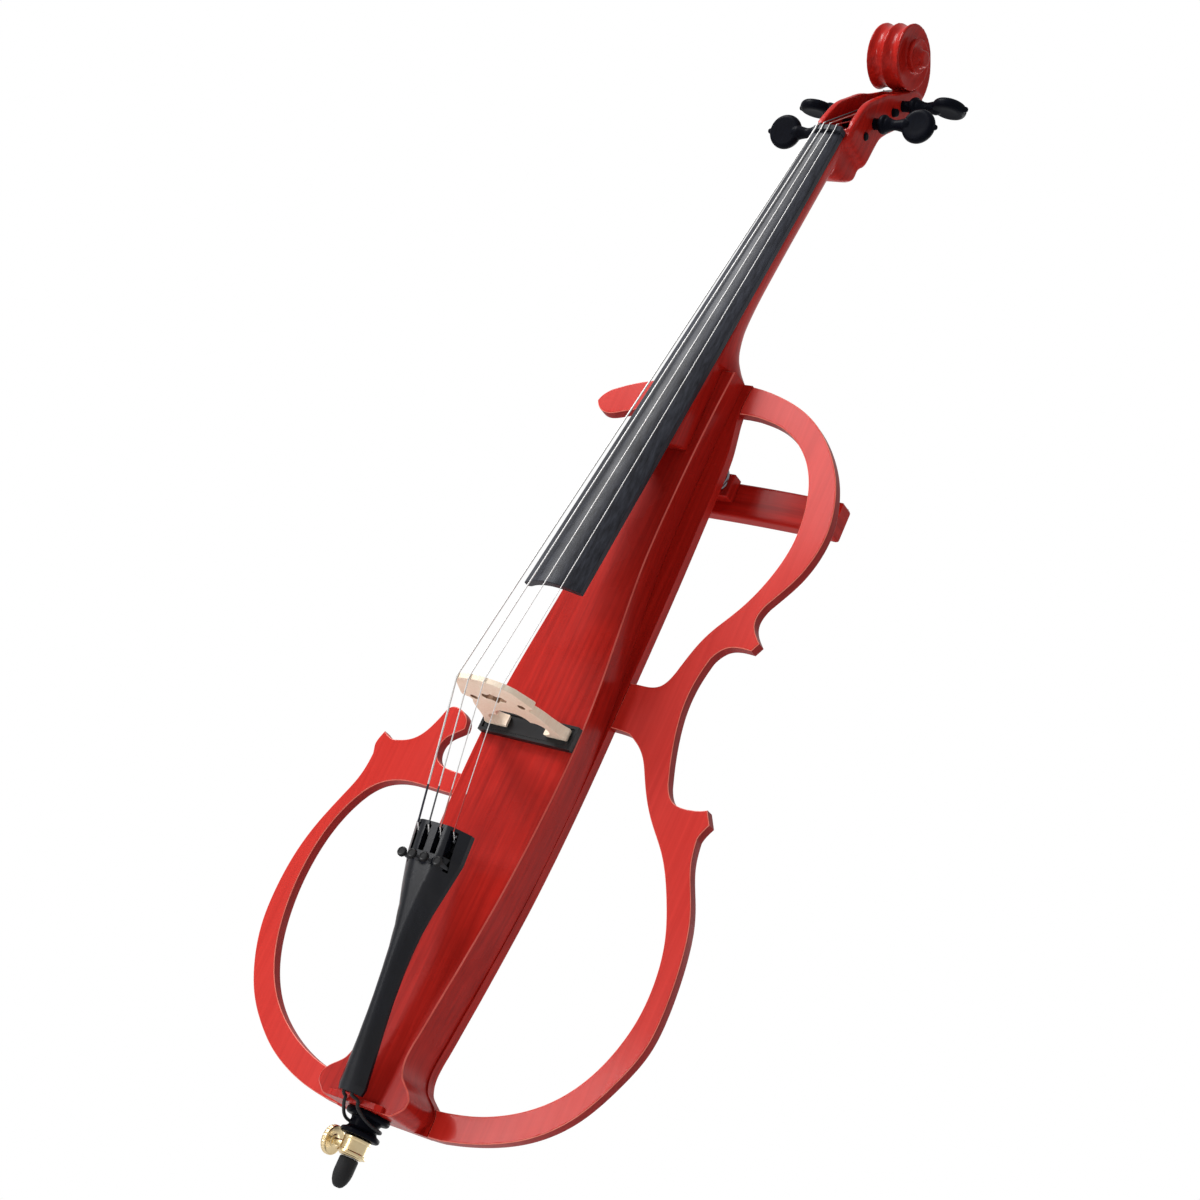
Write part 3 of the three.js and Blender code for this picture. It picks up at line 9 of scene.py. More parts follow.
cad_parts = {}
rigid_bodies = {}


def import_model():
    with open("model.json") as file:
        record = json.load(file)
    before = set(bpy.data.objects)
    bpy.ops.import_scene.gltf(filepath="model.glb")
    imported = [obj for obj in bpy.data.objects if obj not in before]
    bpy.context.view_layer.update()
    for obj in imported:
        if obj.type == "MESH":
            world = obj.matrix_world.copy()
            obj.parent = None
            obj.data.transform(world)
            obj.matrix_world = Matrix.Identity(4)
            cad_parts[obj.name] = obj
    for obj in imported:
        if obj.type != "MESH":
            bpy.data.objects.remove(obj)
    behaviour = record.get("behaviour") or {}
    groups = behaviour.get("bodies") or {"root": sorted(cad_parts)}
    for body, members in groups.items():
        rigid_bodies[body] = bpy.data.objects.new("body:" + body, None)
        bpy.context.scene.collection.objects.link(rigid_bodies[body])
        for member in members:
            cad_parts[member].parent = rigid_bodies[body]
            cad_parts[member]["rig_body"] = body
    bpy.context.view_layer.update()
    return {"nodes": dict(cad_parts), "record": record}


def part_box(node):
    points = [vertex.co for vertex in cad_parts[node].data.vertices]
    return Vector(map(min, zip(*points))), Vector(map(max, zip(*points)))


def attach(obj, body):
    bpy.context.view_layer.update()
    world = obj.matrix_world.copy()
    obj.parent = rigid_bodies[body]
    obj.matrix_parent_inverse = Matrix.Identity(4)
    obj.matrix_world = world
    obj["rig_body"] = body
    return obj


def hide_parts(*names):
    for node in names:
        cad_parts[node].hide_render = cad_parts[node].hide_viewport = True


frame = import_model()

bl_info = {
    "name": "Electric cello",
    "version": (1, 0, 0),
    "blender": (4, 5, 0),
    "location": "3D View > Sidebar > Cello",
    "description": "Dresses the packed electric cello with rounded, carved and turned pieces",
    "category": "Add Mesh",
}

# Units: outlines and turned profiles are in millimetres, finished pieces in metres
MM = 0.001
WELD = 0.002
CORNER = math.radians(45)
SMOOTH_ANGLE = math.radians(38)
ROUND_STEPS = 3
FLAT = 0.97

# Levels and depths of the instrument
BODY_BOTTOM = 66.4
BRIDGE_LEVEL = 428.4
BODY_TOP = 821.4
NUT_LEVEL = 1118.4
PLATE_FRONT = -14.0
PLATE_LEAN = 0.0265
SWIVEL_PLACE = (38.0, 0, 727.4)
FRONT_WALL = 7.0
SEAT = 0.3
OVERRUN = 3.0
SEAM_REACH = 57.0
BORE_SKIN = 2.0
PLUG_BORE = 11.3
ROD_BORE = 5.3
ROD_HOLE_TOP = 145.0
PLATE_SCREW_BORE = 1.8
PLATE_SCREW_X = 30.0
PLATE_SCREW_LEVELS = (274.4, 382.4)
PANEL_FRONT = 33.1
SWIVEL_BORE = 4.3
BACKWARDS = (0, 1, 0)
SIDEWAYS = (1, 0, 0)
UPWARDS = (0, 0, 1)


class CelloSizes(bpy.types.PropertyGroup):
    """Sizes that a maker would change."""

    frame_edge: FloatProperty(
        name="Frame edge", description="Rounding of the side frames' edges",
        default=0.0012, unit="LENGTH")
    # The chamfer of this width along the centre body's front is painted pale red, a painted highlight along
    # the edge
    body_edge: FloatProperty(
        name="Body edge", description="Width of the rubbed edge along the centre body's front",
        default=0.0011, unit="LENGTH")
    rest_edge: FloatProperty(
        name="Rest edge", description="Rounding of the chest rest's long edges",
        default=0.0035, unit="LENGTH")
    carving_grid: FloatProperty(
        name="Carving grid", description="Size of the grid on which neck and scroll are carved",
        default=0.00125, unit="LENGTH")
    flute_depth: FloatProperty(
        name="Flute depth", description="Depth of the two grooves down the scroll's back",
        default=0.0034, unit="LENGTH")
    thread_pitch: FloatProperty(
        name="Thread pitch", description="Rise of a tuner screw's thread in one turn",
        default=0.0007, unit="LENGTH")
    knob_flutes: IntProperty(
        name="Knob flutes", description="Number of grip flutes round a control knob",
        default=24, min=6, max=60)
    silk_length: FloatProperty(
        name="Silk length", description="Length of the dark silk above the tailpiece",
        default=0.029, unit="LENGTH")


class CelloColours(bpy.types.PropertyGroup):
    """Colours of the finishes."""

    varnish: FloatVectorProperty(
        name="Varnish", description="Red of the varnished wood", subtype="COLOR",
        default=(0.48, 0.016, 0.010), min=0, max=1)
    varnish_deep: FloatVectorProperty(
        name="Deep varnish", description="Red where the grain takes more colour", subtype="COLOR",
        default=(0.26, 0.006, 0.004), min=0, max=1)
    # The side frames' red is painted lighter than the body's varnish, standing for the stronger light
    # falling on the frames
    lit_frame_varnish: FloatVectorProperty(
        name="Frame varnish", description="Lighter red of the side frames", subtype="COLOR",
        default=(0.58, 0.027, 0.018), min=0, max=1)
    # Near-black of the board itself, with a blue tint standing for the bluish sheen on it: a painted
    # reflection tint
    fingerboard: FloatVectorProperty(
        name="Fingerboard", description="Black of the fingerboard", subtype="COLOR",
        default=(0.040, 0.043, 0.056), min=0, max=1)
    black_wood: FloatVectorProperty(
        name="Black wood", description="Black in the fingerboard's grain", subtype="COLOR",
        default=(0.006, 0.006, 0.008), min=0, max=1)
    maple: FloatVectorProperty(
        name="Maple", description="Pale wood of the bridge", subtype="COLOR",
        default=(0.98, 0.83, 0.67), min=0, max=1)
    brass: FloatVectorProperty(
        name="Brass", description="Pale brass of the endpin's clamp", subtype="COLOR",
        default=(0.86, 0.73, 0.46), min=0, max=1)
    steel: FloatVectorProperty(
        name="Steel", description="Bright steel of the plate's screws", subtype="COLOR",
        default=(0.66, 0.67, 0.70), min=0, max=1)


# Node trees
def lay(tree, kind, inputs=None, **options):
    """Adds one node to a tree, sets its options, and fills its inputs with values or other outputs."""
    node = tree.nodes.new(kind)
    for option, value in options.items():
        setattr(node, option, value)
    for key, value in (inputs or {}).items():
        socket = node.inputs[key]
        if isinstance(value, bpy.types.NodeSocket):
            tree.links.new(value, socket)
        else:
            socket.default_value = value
    return node


def sum_up(tree, operation, first, second=0.0, third=0.0):
    """One Math node's output."""
    return lay(tree, "ShaderNodeMath", {0: first, 1: second, 2: third}, operation=operation).outputs[0]


def new_tree(name, kind, sockets, results):
    """A node group with named inputs and outputs, and its two end nodes."""
    tree = bpy.data.node_groups.new(name, kind)
    for label, sort, default in sockets:
        socket = tree.interface.new_socket(label, in_out="INPUT", socket_type=sort)
        if default is not None:
            socket.default_value = default
    for label, sort in results:
        tree.interface.new_socket(label, in_out="OUTPUT", socket_type=sort)
    return tree, tree.nodes.new("NodeGroupInput"), tree.nodes.new("NodeGroupOutput")


def close_tree(tree, end, values):
    for label, value in values.items():
        tree.links.new(value, end.inputs[label])
    return tree


FLOAT = "NodeSocketFloat"
FIGURE_SCALE = 14.0
FIGURE_STRETCH = 0.28
EDGE_START = 0.52
EDGE_REACH = 0.06
DUST_SCALE = 900.0
WIRE_TURNS = 620.0
BRAID_STRANDS = 170.0
BRAID_TURN = 0.7


def grain_group():
    """Long fibres of straight-grained wood, and the slower figure across them."""
    tree, start, end = new_tree(
        "Wood grain", "ShaderNodeTree",
        [("Along", FLOAT, 8.0), ("Across", FLOAT, 260.0), ("Figure Scale", FLOAT, FIGURE_SCALE)],
        [("Grain", FLOAT), ("Figure", FLOAT)])
    place = lay(tree, "ShaderNodeTexCoord").outputs["Object"]
    stretch = lay(tree, "ShaderNodeCombineXYZ", {
        "X": start.outputs["Across"], "Y": start.outputs["Across"], "Z": start.outputs["Along"]}).outputs[0]
    fibres = lay(tree, "ShaderNodeVectorMath", {0: place, 1: stretch}, operation="MULTIPLY").outputs[0]
    grain = lay(tree, "ShaderNodeTexNoise", {
        "Vector": fibres, "Scale": 1.0, "Detail": 6.0, "Roughness": 0.62})
    squeeze = lay(tree, "ShaderNodeVectorMath", {
        0: place, 1: (1.0, 1.0, FIGURE_STRETCH)}, operation="MULTIPLY").outputs[0]
    figure = lay(tree, "ShaderNodeTexNoise", {
        "Vector": squeeze, "Scale": start.outputs["Figure Scale"], "Detail": 3.0, "Distortion": 0.6})
    return close_tree(tree, end, {"Grain": grain.outputs[0], "Figure": figure.outputs[0]})


def wear_group():
    """Where edges and corners are rubbed."""
    tree, start, end = new_tree(
        "Edge wear", "ShaderNodeTree", [("Reach", FLOAT, EDGE_REACH)], [("Edge", FLOAT)])
    pointed = lay(tree, "ShaderNodeNewGeometry").outputs["Pointiness"]
    place = lay(tree, "ShaderNodeTexCoord").outputs["Object"]
    patches = lay(tree, "ShaderNodeTexNoise", {"Vector": place, "Scale": 60.0, "Detail": 3.0}).outputs[0]
    high = sum_up(tree, "ADD", EDGE_START, start.outputs["Reach"])
    edge = lay(tree, "ShaderNodeMapRange", {
        "Value": pointed, "From Min": EDGE_START, "From Max": high}).outputs[0]
    return close_tree(tree, end, {"Edge": sum_up(tree, "MULTIPLY", edge, patches)})


def dust_group():
    """Fine specks and soft finger marks."""
    tree, start, end = new_tree(
        "Fine dust", "ShaderNodeTree", [("Scale", FLOAT, DUST_SCALE)],
        [("Specks", FLOAT), ("Marks", FLOAT)])
    place = lay(tree, "ShaderNodeTexCoord").outputs["Object"]
    specks = lay(tree, "ShaderNodeTexNoise", {
        "Vector": place, "Scale": start.outputs["Scale"], "Detail": 2.0}).outputs[0]
    marks = lay(tree, "ShaderNodeTexNoise", {"Vector": place, "Scale": 22.0, "Detail": 4.0}).outputs[0]
    return close_tree(tree, end, {"Specks": specks, "Marks": marks})


def winding_group():
    """Close turns of wire or silk round a string."""
    tree, start, end = new_tree(
        "Wound wire", "ShaderNodeTree", [("Turns", FLOAT, WIRE_TURNS)], [("Ridge", FLOAT)])
    place = lay(tree, "ShaderNodeTexCoord").outputs["Object"]
    waves = lay(tree, "ShaderNodeTexWave", {
        "Vector": place, "Scale": start.outputs["Turns"]}, bands_direction="Z").outputs[1]
    return close_tree(tree, end, {"Ridge": waves})


def braid_group():
    """Crossed strands of a woven cord."""
    tree, start, end = new_tree(
        "Braid", "ShaderNodeTree", [("Strands", FLOAT, BRAID_STRANDS)], [("Ridge", FLOAT)])
    place = lay(tree, "ShaderNodeTexCoord").outputs["Object"]
    ridges = []
    for turn in (BRAID_TURN, -BRAID_TURN):
        crossed = lay(tree, "ShaderNodeMapping", {
            "Vector": place, "Rotation": (turn, turn, 0.0)}).outputs[0]
        ridges.append(lay(tree, "ShaderNodeTexWave", {
            "Vector": crossed, "Scale": start.outputs["Strands"]}, bands_direction="Z").outputs[1])
    return close_tree(tree, end, {"Ridge": sum_up(tree, "MAXIMUM", *ridges)})


shared = {}


def group_node(tree, name, inputs=None):
    """Places a shared effect in a material, and builds it the first time."""
    if name not in shared:
        shared[name] = {
            "grain": grain_group, "wear": wear_group, "dust": dust_group,
            "winding": winding_group, "braid": braid_group,
        }[name]()
    return lay(tree, "ShaderNodeGroup", inputs, node_tree=shared[name])


# Finishes: light and deep colour, roughness from and to, and bump height in metres. Some have metal,
# shine, a coat, grain (along, across), what the bump follows, and how much paler the edges are
LONG_GRAIN = (6.0, 230.0)
CROSS_GRAIN = (230.0, 6.0)
MAPLE_GRAIN = (180.0, 520.0)
ROLLED = dict(metal=1.0, bump=0.00001)
SILK = dict(rough=(0.5, 0.62), follows="winding", bump=0.00008)
SATIN_GRAIN = dict(rough=(0.28, 0.38), shine=0.2, grain=LONG_GRAIN, bump=0.00002)
BLACKENED = dict(light=(0.004, 0.005, 0.009), deep=(0.003, 0.003, 0.005), worn=0.03)


def finish_table(colours):
    varnished = dict(light=colours.varnish, deep=colours.varnish_deep, rough=(0.24, 0.34), shine=0.07,
                     coat=0.06, coat_rough=0.12, bump=0.00003, worn=0.1)
    return {
        "red_varnish": dict(varnished, grain=LONG_GRAIN),
        "crosswise_varnish": dict(varnished, grain=CROSS_GRAIN),
        # Pale red on the body's front chamfer: a painted highlight along the edge
        "painted_highlight_varnish": dict(SATIN_GRAIN, light=(0.74, 0.15, 0.12), deep=(0.60, 0.07, 0.05)),
        # Pale red on the frames' rounding strip: a painted highlight along the edges
        "painted_highlight_frame": dict(SATIN_GRAIN, light=(0.88, 0.26, 0.20), deep=(0.74, 0.14, 0.10)),
        # The frames' lighter red is painted light: a lit copy of the body's varnish
        "lit_frame_varnish": dict(SATIN_GRAIN, light=colours.lit_frame_varnish, deep=colours.varnish, shine=0.12,
                              coat=0.1, coat_rough=0.12, worn=0.12),
        # Dark red on the frames' side walls: painted shade
        "painted_shade_wall_varnish": dict(SATIN_GRAIN, light=(0.34, 0.014, 0.012), deep=(0.22, 0.006, 0.005), shine=0.08,
                             worn=0.1),
        "fingerboard_black": dict(light=colours.fingerboard, deep=colours.black_wood, rough=(0.36, 0.48),
                                  shine=0.14, grain=(5.0, 420.0), bump=0.00003, worn=0.06),
        "black_wood": dict(BLACKENED, rough=(0.32, 0.44), shine=0.03, grain=(8.0, 380.0), bump=0.00002),
        "satin_tailpiece": dict(BLACKENED, rough=(0.22, 0.30), shine=0.3, bump=0.00001),
        "pale_maple": dict(light=colours.maple, deep=(0.90, 0.70, 0.52), rough=(0.42, 0.55), shine=0.35,
                           grain=MAPLE_GRAIN, bump=0.00003, worn=0.1),
        # Dark brown on the walls of the bridge's holes: painted shade
        "painted_shade_maple": dict(light=(0.34, 0.20, 0.12), deep=(0.18, 0.09, 0.05), rough=(0.5, 0.6),
                               shine=0.3, grain=MAPLE_GRAIN, bump=0.00003),
        "black_plastic": dict(light=(0.016, 0.016, 0.017), deep=(0.009, 0.009, 0.010), rough=(0.34, 0.48),
                              shine=0.15, bump=0.00003, worn=0.05),
        "black_cord": dict(light=(0.018, 0.018, 0.020), deep=(0.006, 0.006, 0.007), rough=(0.5, 0.65),
                           shine=0.25, follows="braid", bump=0.00010),
        "pale_brass": dict(ROLLED, light=colours.brass, deep=(0.66, 0.48, 0.25), rough=(0.24, 0.36),
                           worn=0.2),
        "bright_steel": dict(ROLLED, light=colours.steel, deep=(0.52, 0.53, 0.56), rough=(0.18, 0.32)),
        "dark_steel": dict(ROLLED, light=(0.34, 0.34, 0.36), deep=(0.20, 0.20, 0.22), rough=(0.24, 0.38)),
        "black_steel": dict(ROLLED, light=(0.060, 0.061, 0.066), deep=(0.030, 0.031, 0.034),
                            rough=(0.28, 0.4)),
        "chromed_jack": dict(light=(0.52, 0.53, 0.55), deep=(0.42, 0.43, 0.46), metal=1.0,
                             rough=(0.20, 0.28), bump=0.000005),
        "wound_steel": dict(light=(0.72, 0.71, 0.70), deep=(0.62, 0.61, 0.60), metal=0.3,
                            rough=(0.45, 0.55), follows="winding", bump=0.00001),
        "grey_silk": dict(SILK, light=(0.070, 0.075, 0.080), deep=(0.040, 0.044, 0.048)),
        "rose_silk": dict(SILK, light=(0.50, 0.22, 0.19), deep=(0.36, 0.13, 0.11)),
        "red_silk": dict(SILK, light=(0.46, 0.035, 0.026), deep=(0.30, 0.016, 0.012)),
        "dark_silk": dict(SILK, light=(0.016, 0.018, 0.035), deep=(0.006, 0.007, 0.014)),
        "black_rubber": dict(light=(0.020, 0.020, 0.021), deep=(0.011, 0.011, 0.012), rough=(0.62, 0.80),
                             shine=0.2, bump=0.00008, worn=0.12),
        "green_circuit": dict(light=(0.010, 0.120, 0.050), deep=(0.006, 0.070, 0.030), rough=(0.35, 0.5),
                              bump=0.00002),
        "battery_case": dict(light=(0.060, 0.064, 0.075), deep=(0.030, 0.032, 0.040), rough=(0.28, 0.4),
                             bump=0.00001),
    }


GRAIN_SHARE = 0.65
PATTERN_RANGE = (0.34, 0.64)
MARKS_RANGE = (0.3, 0.7)
BUMP_STRENGTH = 0.6
finishes = {}


def emptied(holder):
    """The node tree of a material or a sky, with no nodes in it."""
    holder.use_nodes = True
    holder.node_tree.nodes.clear()
    return holder.node_tree


def finish(slot):
    """The material of one slot, built the first time it is asked for."""
    if slot in finishes:
        return finishes[slot]
    row = finish_table(bpy.context.scene.cello_colours)[slot]
    material = bpy.data.materials.new(slot.replace("_", " "))
    tree = emptied(material)
    dust = group_node(tree, "dust", {"Scale": DUST_SCALE})
    if "grain" in row:
        along, across = row["grain"]
        wood = group_node(tree, "grain", {"Along": along, "Across": across, "Figure Scale": FIGURE_SCALE})
        pattern = sum_up(tree, "MULTIPLY_ADD", wood.outputs["Grain"], GRAIN_SHARE,
                         sum_up(tree, "MULTIPLY", wood.outputs["Figure"], 1.0 - GRAIN_SHARE))
        height = wood.outputs["Grain"]
    elif row.get("follows") == "winding":
        pattern = height = group_node(tree, "winding", {"Turns": WIRE_TURNS}).outputs["Ridge"]
    elif row.get("follows") == "braid":
        pattern = height = group_node(tree, "braid", {"Strands": BRAID_STRANDS}).outputs["Ridge"]
    else:
        pattern = dust.outputs["Marks"]
        height = dust.outputs["Specks"]
    blend = lay(tree, "ShaderNodeMapRange", {
        "Value": pattern, "From Min": PATTERN_RANGE[0], "From Max": PATTERN_RANGE[1]}).outputs[0]
    colour = lay(tree, "ShaderNodeMix", {
        "Factor": blend, 6: (*row["deep"], 1.0), 7: (*row["light"], 1.0)}, data_type="RGBA").outputs[2]
    if "worn" in row:
        edge = group_node(tree, "wear", {"Reach": EDGE_REACH}).outputs["Edge"]
        pale = tuple(min(1.0, part * 1.6 + 0.05) for part in row["light"])
        share = sum_up(tree, "MULTIPLY", edge, row["worn"])
        colour = lay(tree, "ShaderNodeMix", {"Factor": share, 6: colour, 7: (*pale, 1.0)},
                     data_type="RGBA").outputs[2]
    low, high = row["rough"]
    rough = lay(tree, "ShaderNodeMapRange", {
        "Value": dust.outputs["Marks"], "From Min": MARKS_RANGE[0], "From Max": MARKS_RANGE[1],
        "To Min": low, "To Max": high})
    bump = lay(tree, "ShaderNodeBump", {
        "Strength": BUMP_STRENGTH, "Distance": row["bump"], "Height": height})
    surface = lay(tree, "ShaderNodeBsdfPrincipled", {
        "Base Color": colour, "Roughness": rough.outputs[0], "Metallic": row.get("metal", 0.0),
        "Specular IOR Level": row.get("shine", 0.5), "Coat Weight": row.get("coat", 0.0),
        "Coat Roughness": row.get("coat_rough", 0.05), "Normal": bump.outputs[0]})
    lay(tree, "ShaderNodeOutputMaterial", {"Surface": surface.outputs[0]})
    finishes[slot] = material
    return material


# Growing rules for what repeats or follows a path
GEOMETRY = "NodeSocketGeometry"
MATERIAL = ("Material", "NodeSocketMaterial", None)


def close_growth(tree, end, geometry, material):
    """Ends a growing rule with real pieces in one material."""
    real = lay(tree, "GeometryNodeRealizeInstances", {"Geometry": geometry}).outputs[0]
    painted = lay(tree, "GeometryNodeSetMaterial", {"Geometry": real, "Material": material})
    return close_tree(tree, end, {"Geometry": painted.outputs[0]})


def flute_tree():
    """Cuts straight flutes, lobes or a thread round a piece that is turned on the Z axis."""
    tree, start, end = new_tree(
        "Flutes and threads", "GeometryNodeTree",
        [("Geometry", GEOMETRY, None), ("Count", FLOAT, 12.0), ("Rise", FLOAT, 0.0), ("Depth", FLOAT, 0.5),
         ("Low", FLOAT, 0.0), ("High", FLOAT, 1.0), ("Core", FLOAT, 0.0), MATERIAL],
        [("Geometry", GEOMETRY)])
    given = start.outputs
    place = lay(tree, "GeometryNodeInputPosition").outputs[0]
    split = lay(tree, "ShaderNodeSeparateXYZ", {0: place}).outputs
    angle = sum_up(tree, "ARCTAN2", split["Y"], split["X"])
    climb = sum_up(tree, "MULTIPLY", split["Z"], given["Rise"])
    phase = sum_up(tree, "MULTIPLY_ADD", angle, given["Count"], climb)
    wave = sum_up(tree, "MULTIPLY_ADD", sum_up(tree, "COSINE", phase), -0.5, 0.5)
    flat = lay(tree, "ShaderNodeCombineXYZ", {"X": split["X"], "Y": split["Y"]}).outputs[0]
    reach = lay(tree, "ShaderNodeVectorMath", {0: flat}, operation="LENGTH").outputs["Value"]
    inside = [
        sum_up(tree, "GREATER_THAN", split["Z"], given["Low"]),
        sum_up(tree, "LESS_THAN", split["Z"], given["High"]),
        sum_up(tree, "GREATER_THAN", reach, given["Core"]),
    ]
    amount = sum_up(tree, "MULTIPLY", wave, given["Depth"])
    for limit in inside:
        amount = sum_up(tree, "MULTIPLY", amount, limit)
    inward = lay(tree, "ShaderNodeVectorMath", {0: flat}, operation="NORMALIZE").outputs[0]
    shift = lay(tree, "ShaderNodeVectorMath", {
        0: inward, "Scale": sum_up(tree, "MULTIPLY", amount, -1.0)}, operation="SCALE").outputs[0]
    cut = lay(tree, "GeometryNodeSetPosition", {"Geometry": given["Geometry"], "Offset": shift}).outputs[0]
    return close_growth(tree, end, cut, given["Material"])


def strand_tree():
    """Sweeps a round section along a route."""
    tree, start, end = new_tree(
        "Strand along a route", "GeometryNodeTree",
        [("Geometry", GEOMETRY, None), ("Radius", FLOAT, 1.0), ("Sides", "NodeSocketInt", 12), MATERIAL],
        [("Geometry", GEOMETRY)])
    given = start.outputs
    line = lay(tree, "GeometryNodeMeshToCurve", {"Mesh": given["Geometry"]}).outputs[0]
    ring = lay(tree, "GeometryNodeCurvePrimitiveCircle", {
        "Resolution": given["Sides"], "Radius": given["Radius"]}).outputs[0]
    swept = lay(tree, "GeometryNodeCurveToMesh", {
        "Curve": line, "Profile Curve": ring, "Fill Caps": True}).outputs[0]
    return close_growth(tree, end, swept, given["Material"])


STUD_TAPER = 0.6


def row_tree():
    """Sets a row of like studs on a piece."""
    tree, start, end = new_tree(
        "Row of studs", "GeometryNodeTree",
        [("Geometry", GEOMETRY, None), ("Count", "NodeSocketInt", 6),
         ("First", "NodeSocketVector", (0.0, 0.0, 0.0)), ("Step", "NodeSocketVector", (1.0, 0.0, 0.0)),
         ("Radius", FLOAT, 0.6), ("Height", FLOAT, 1.0), MATERIAL],
        [("Geometry", GEOMETRY)])
    given = start.outputs
    places = lay(tree, "GeometryNodeMeshLine", {
        "Count": given["Count"], "Start Location": given["First"], "Offset": given["Step"]}).outputs[0]
    stud = lay(tree, "GeometryNodeMeshCone", {
        "Vertices": 10, "Radius Top": sum_up(tree, "MULTIPLY", given["Radius"], STUD_TAPER),
        "Radius Bottom": given["Radius"], "Depth": given["Height"]}).outputs["Mesh"]
    studs = lay(tree, "GeometryNodeInstanceOnPoints", {
        "Points": places, "Instance": stud, "Rotation": (-math.pi / 2, 0.0, 0.0)}).outputs[0]
    joined = lay(tree, "GeometryNodeJoinGeometry")
    tree.links.new(studs, joined.inputs[0])
    tree.links.new(given["Geometry"], joined.inputs[0])
    return close_growth(tree, end, joined.outputs[0], given["Material"])


def linked(name, data):
    """A new object in the scene."""
    piece = bpy.data.objects.new(name, data)
    bpy.context.scene.collection.objects.link(piece)
    return piece


def grown(mesh, rule, **values):
    """Runs a growing rule on a mesh and returns the plain result."""
    if rule not in shared:
        shared[rule] = {"flutes": flute_tree, "strand": strand_tree, "row": row_tree}[rule]()
    piece = linked("work", mesh)
    modifier = piece.modifiers.new("work", "NODES")
    modifier.node_group = shared[rule]
    for item in shared[rule].interface.items_tree:
        if item.item_type == "SOCKET" and item.in_out == "INPUT" and item.name in values:
            modifier[item.identifier] = values[item.name]
    return baked(piece)


# Meshes
def baked(piece):
    """The plain mesh of an object with its modifiers or curve settings. The object goes."""
    depsgraph = bpy.context.evaluated_depsgraph_get()
    mesh = bpy.data.meshes.new_from_object(piece.evaluated_get(depsgraph))
    bpy.data.objects.remove(piece)
    return mesh


def altered(mesh, kind, **settings):
    """A mesh after one modifier."""
    piece = linked("work", mesh)
    modifier = piece.modifiers.new("work", kind)
    for setting, value in settings.items():
        setattr(modifier, setting, value)
    return baked(piece)


def cut(mesh, *tools, operation="DIFFERENCE", solver="EXACT"):
    """A mesh with other meshes taken out of it."""
    for tool in tools:
        other = linked("tool", tool)
        mesh = altered(mesh, "BOOLEAN", object=other, operation=operation, solver=solver)
        bpy.data.objects.remove(other)
    return mesh


def closed(shape, name, normals=True):
    """The mesh of some bmesh work, which ends here."""
    if normals:
        bmesh.ops.recalc_face_normals(shape, faces=shape.faces)
    mesh = bpy.data.meshes.new(name)
    shape.to_mesh(mesh)
    shape.free()
    return mesh


def regridded(mesh, grid):
    """One closed skin over parts that run into each other, on a grid."""
    return altered(mesh, "REMESH", mode="VOXEL", voxel_size=grid, adaptivity=0.0)


def reworked(mesh, work):
    """Runs some bmesh work on a mesh."""
    shape = bmesh.new()
    shape.from_mesh(mesh)
    work(shape)
    shape.to_mesh(mesh)
    shape.free()
    mesh.update()
    return mesh


def welded(mesh, distance=WELD):
    def work(shape):
        bmesh.ops.remove_doubles(shape, verts=shape.verts, dist=distance)
        bmesh.ops.recalc_face_normals(shape, faces=shape.faces)
    return reworked(mesh, work)


def coated(mesh, looks, rule):
    """Gives each face one of several finishes, by a rule on its middle and its direction."""
    mesh.materials.clear()
    for look in looks:
        mesh.materials.append(finish(look))
    for face in mesh.polygons:
        face.material_index = int(rule(face.center, face.normal))
    return mesh


def moved(mesh, rule):
    """Moves every corner of a mesh by a rule."""
    for vertex in mesh.vertices:
        vertex.co = rule(vertex.co.copy())
    mesh.update()
    return mesh


def joined(*meshes):
    """Several meshes as one. Materials are kept in their order."""
    shape = bmesh.new()
    materials = []
    for mesh in meshes:
        start = len(shape.faces)
        shape.from_mesh(mesh)
        shape.faces.ensure_lookup_table()
        own = list(mesh.materials) or [None]
        for face in shape.faces[start:]:
            material = own[min(face.material_index, len(own) - 1)]
            if material not in materials:
                materials.append(material)
            face.material_index = materials.index(material)
    result = closed(shape, "joined", normals=False)
    for material in materials:
        result.materials.append(material)
    return result


def lofted(rings):
    """A closed skin over rings of equally many corners."""
    shape = bmesh.new()
    rows = [[shape.verts.new(corner) for corner in ring] for ring in rings]
    for low, high in zip(rows, rows[1:]):
        for i in range(len(low)):
            j = (i + 1) % len(low)
            shape.faces.new((low[i], low[j], high[j], high[i]))
    shape.faces.new(list(reversed(rows[0])))
    shape.faces.new(rows[-1])
    return closed(shape, "loft")


def turned(rows, sides=64):
    """A piece turned on the Z axis from rows of radius and place. A ring's rows end where they start."""
    shape = bmesh.new()
    rings = []
    for radius, place in rows:
        if radius == 0:
            rings.append([shape.verts.new((0, 0, place))] * sides)
            continue
        turns = [2 * math.pi * i / sides for i in range(sides)]
        rings.append([shape.verts.new((radius * math.cos(t), radius * math.sin(t), place)) for t in turns])
    if rows[0] == rows[-1]:
        for vertex in rings[-1]:
            shape.verts.remove(vertex)
        rings[-1] = rings[0]
    for low, high in zip(rings, rings[1:]):
        for i in range(sides):
            j = (i + 1) % sides
            corners = list(dict.fromkeys((low[i], low[j], high[j], high[i])))
            if len(corners) > 2:
                shape.faces.new(corners)
    return closed(shape, "turned")


def rod_rows(radius, low, high):
    return [(0, low), (radius, low), (radius, high), (0, high)]


def rod(radius, low, high, sides=64):
    """A plain rod on the Z axis, which most often cuts a hole."""
    return turned(rod_rows(radius, low, high), sides)


def fluted(body, count, depth, core, low, high, look):
    """A turned body with flutes or lobes round it, no deeper than its core."""
    return grown(body, "flutes", Count=float(count), Rise=0.0, Depth=depth, Core=core, Low=low, High=high,
                 Material=finish(look))


def threaded(body, pitch, depth, core, low, high, look):
    """A turned body with a thread round it."""
    return grown(body, "flutes", Count=1.0, Rise=2 * math.pi / pitch, Depth=depth, Core=core, Low=low,
                 High=high, Material=finish(look))


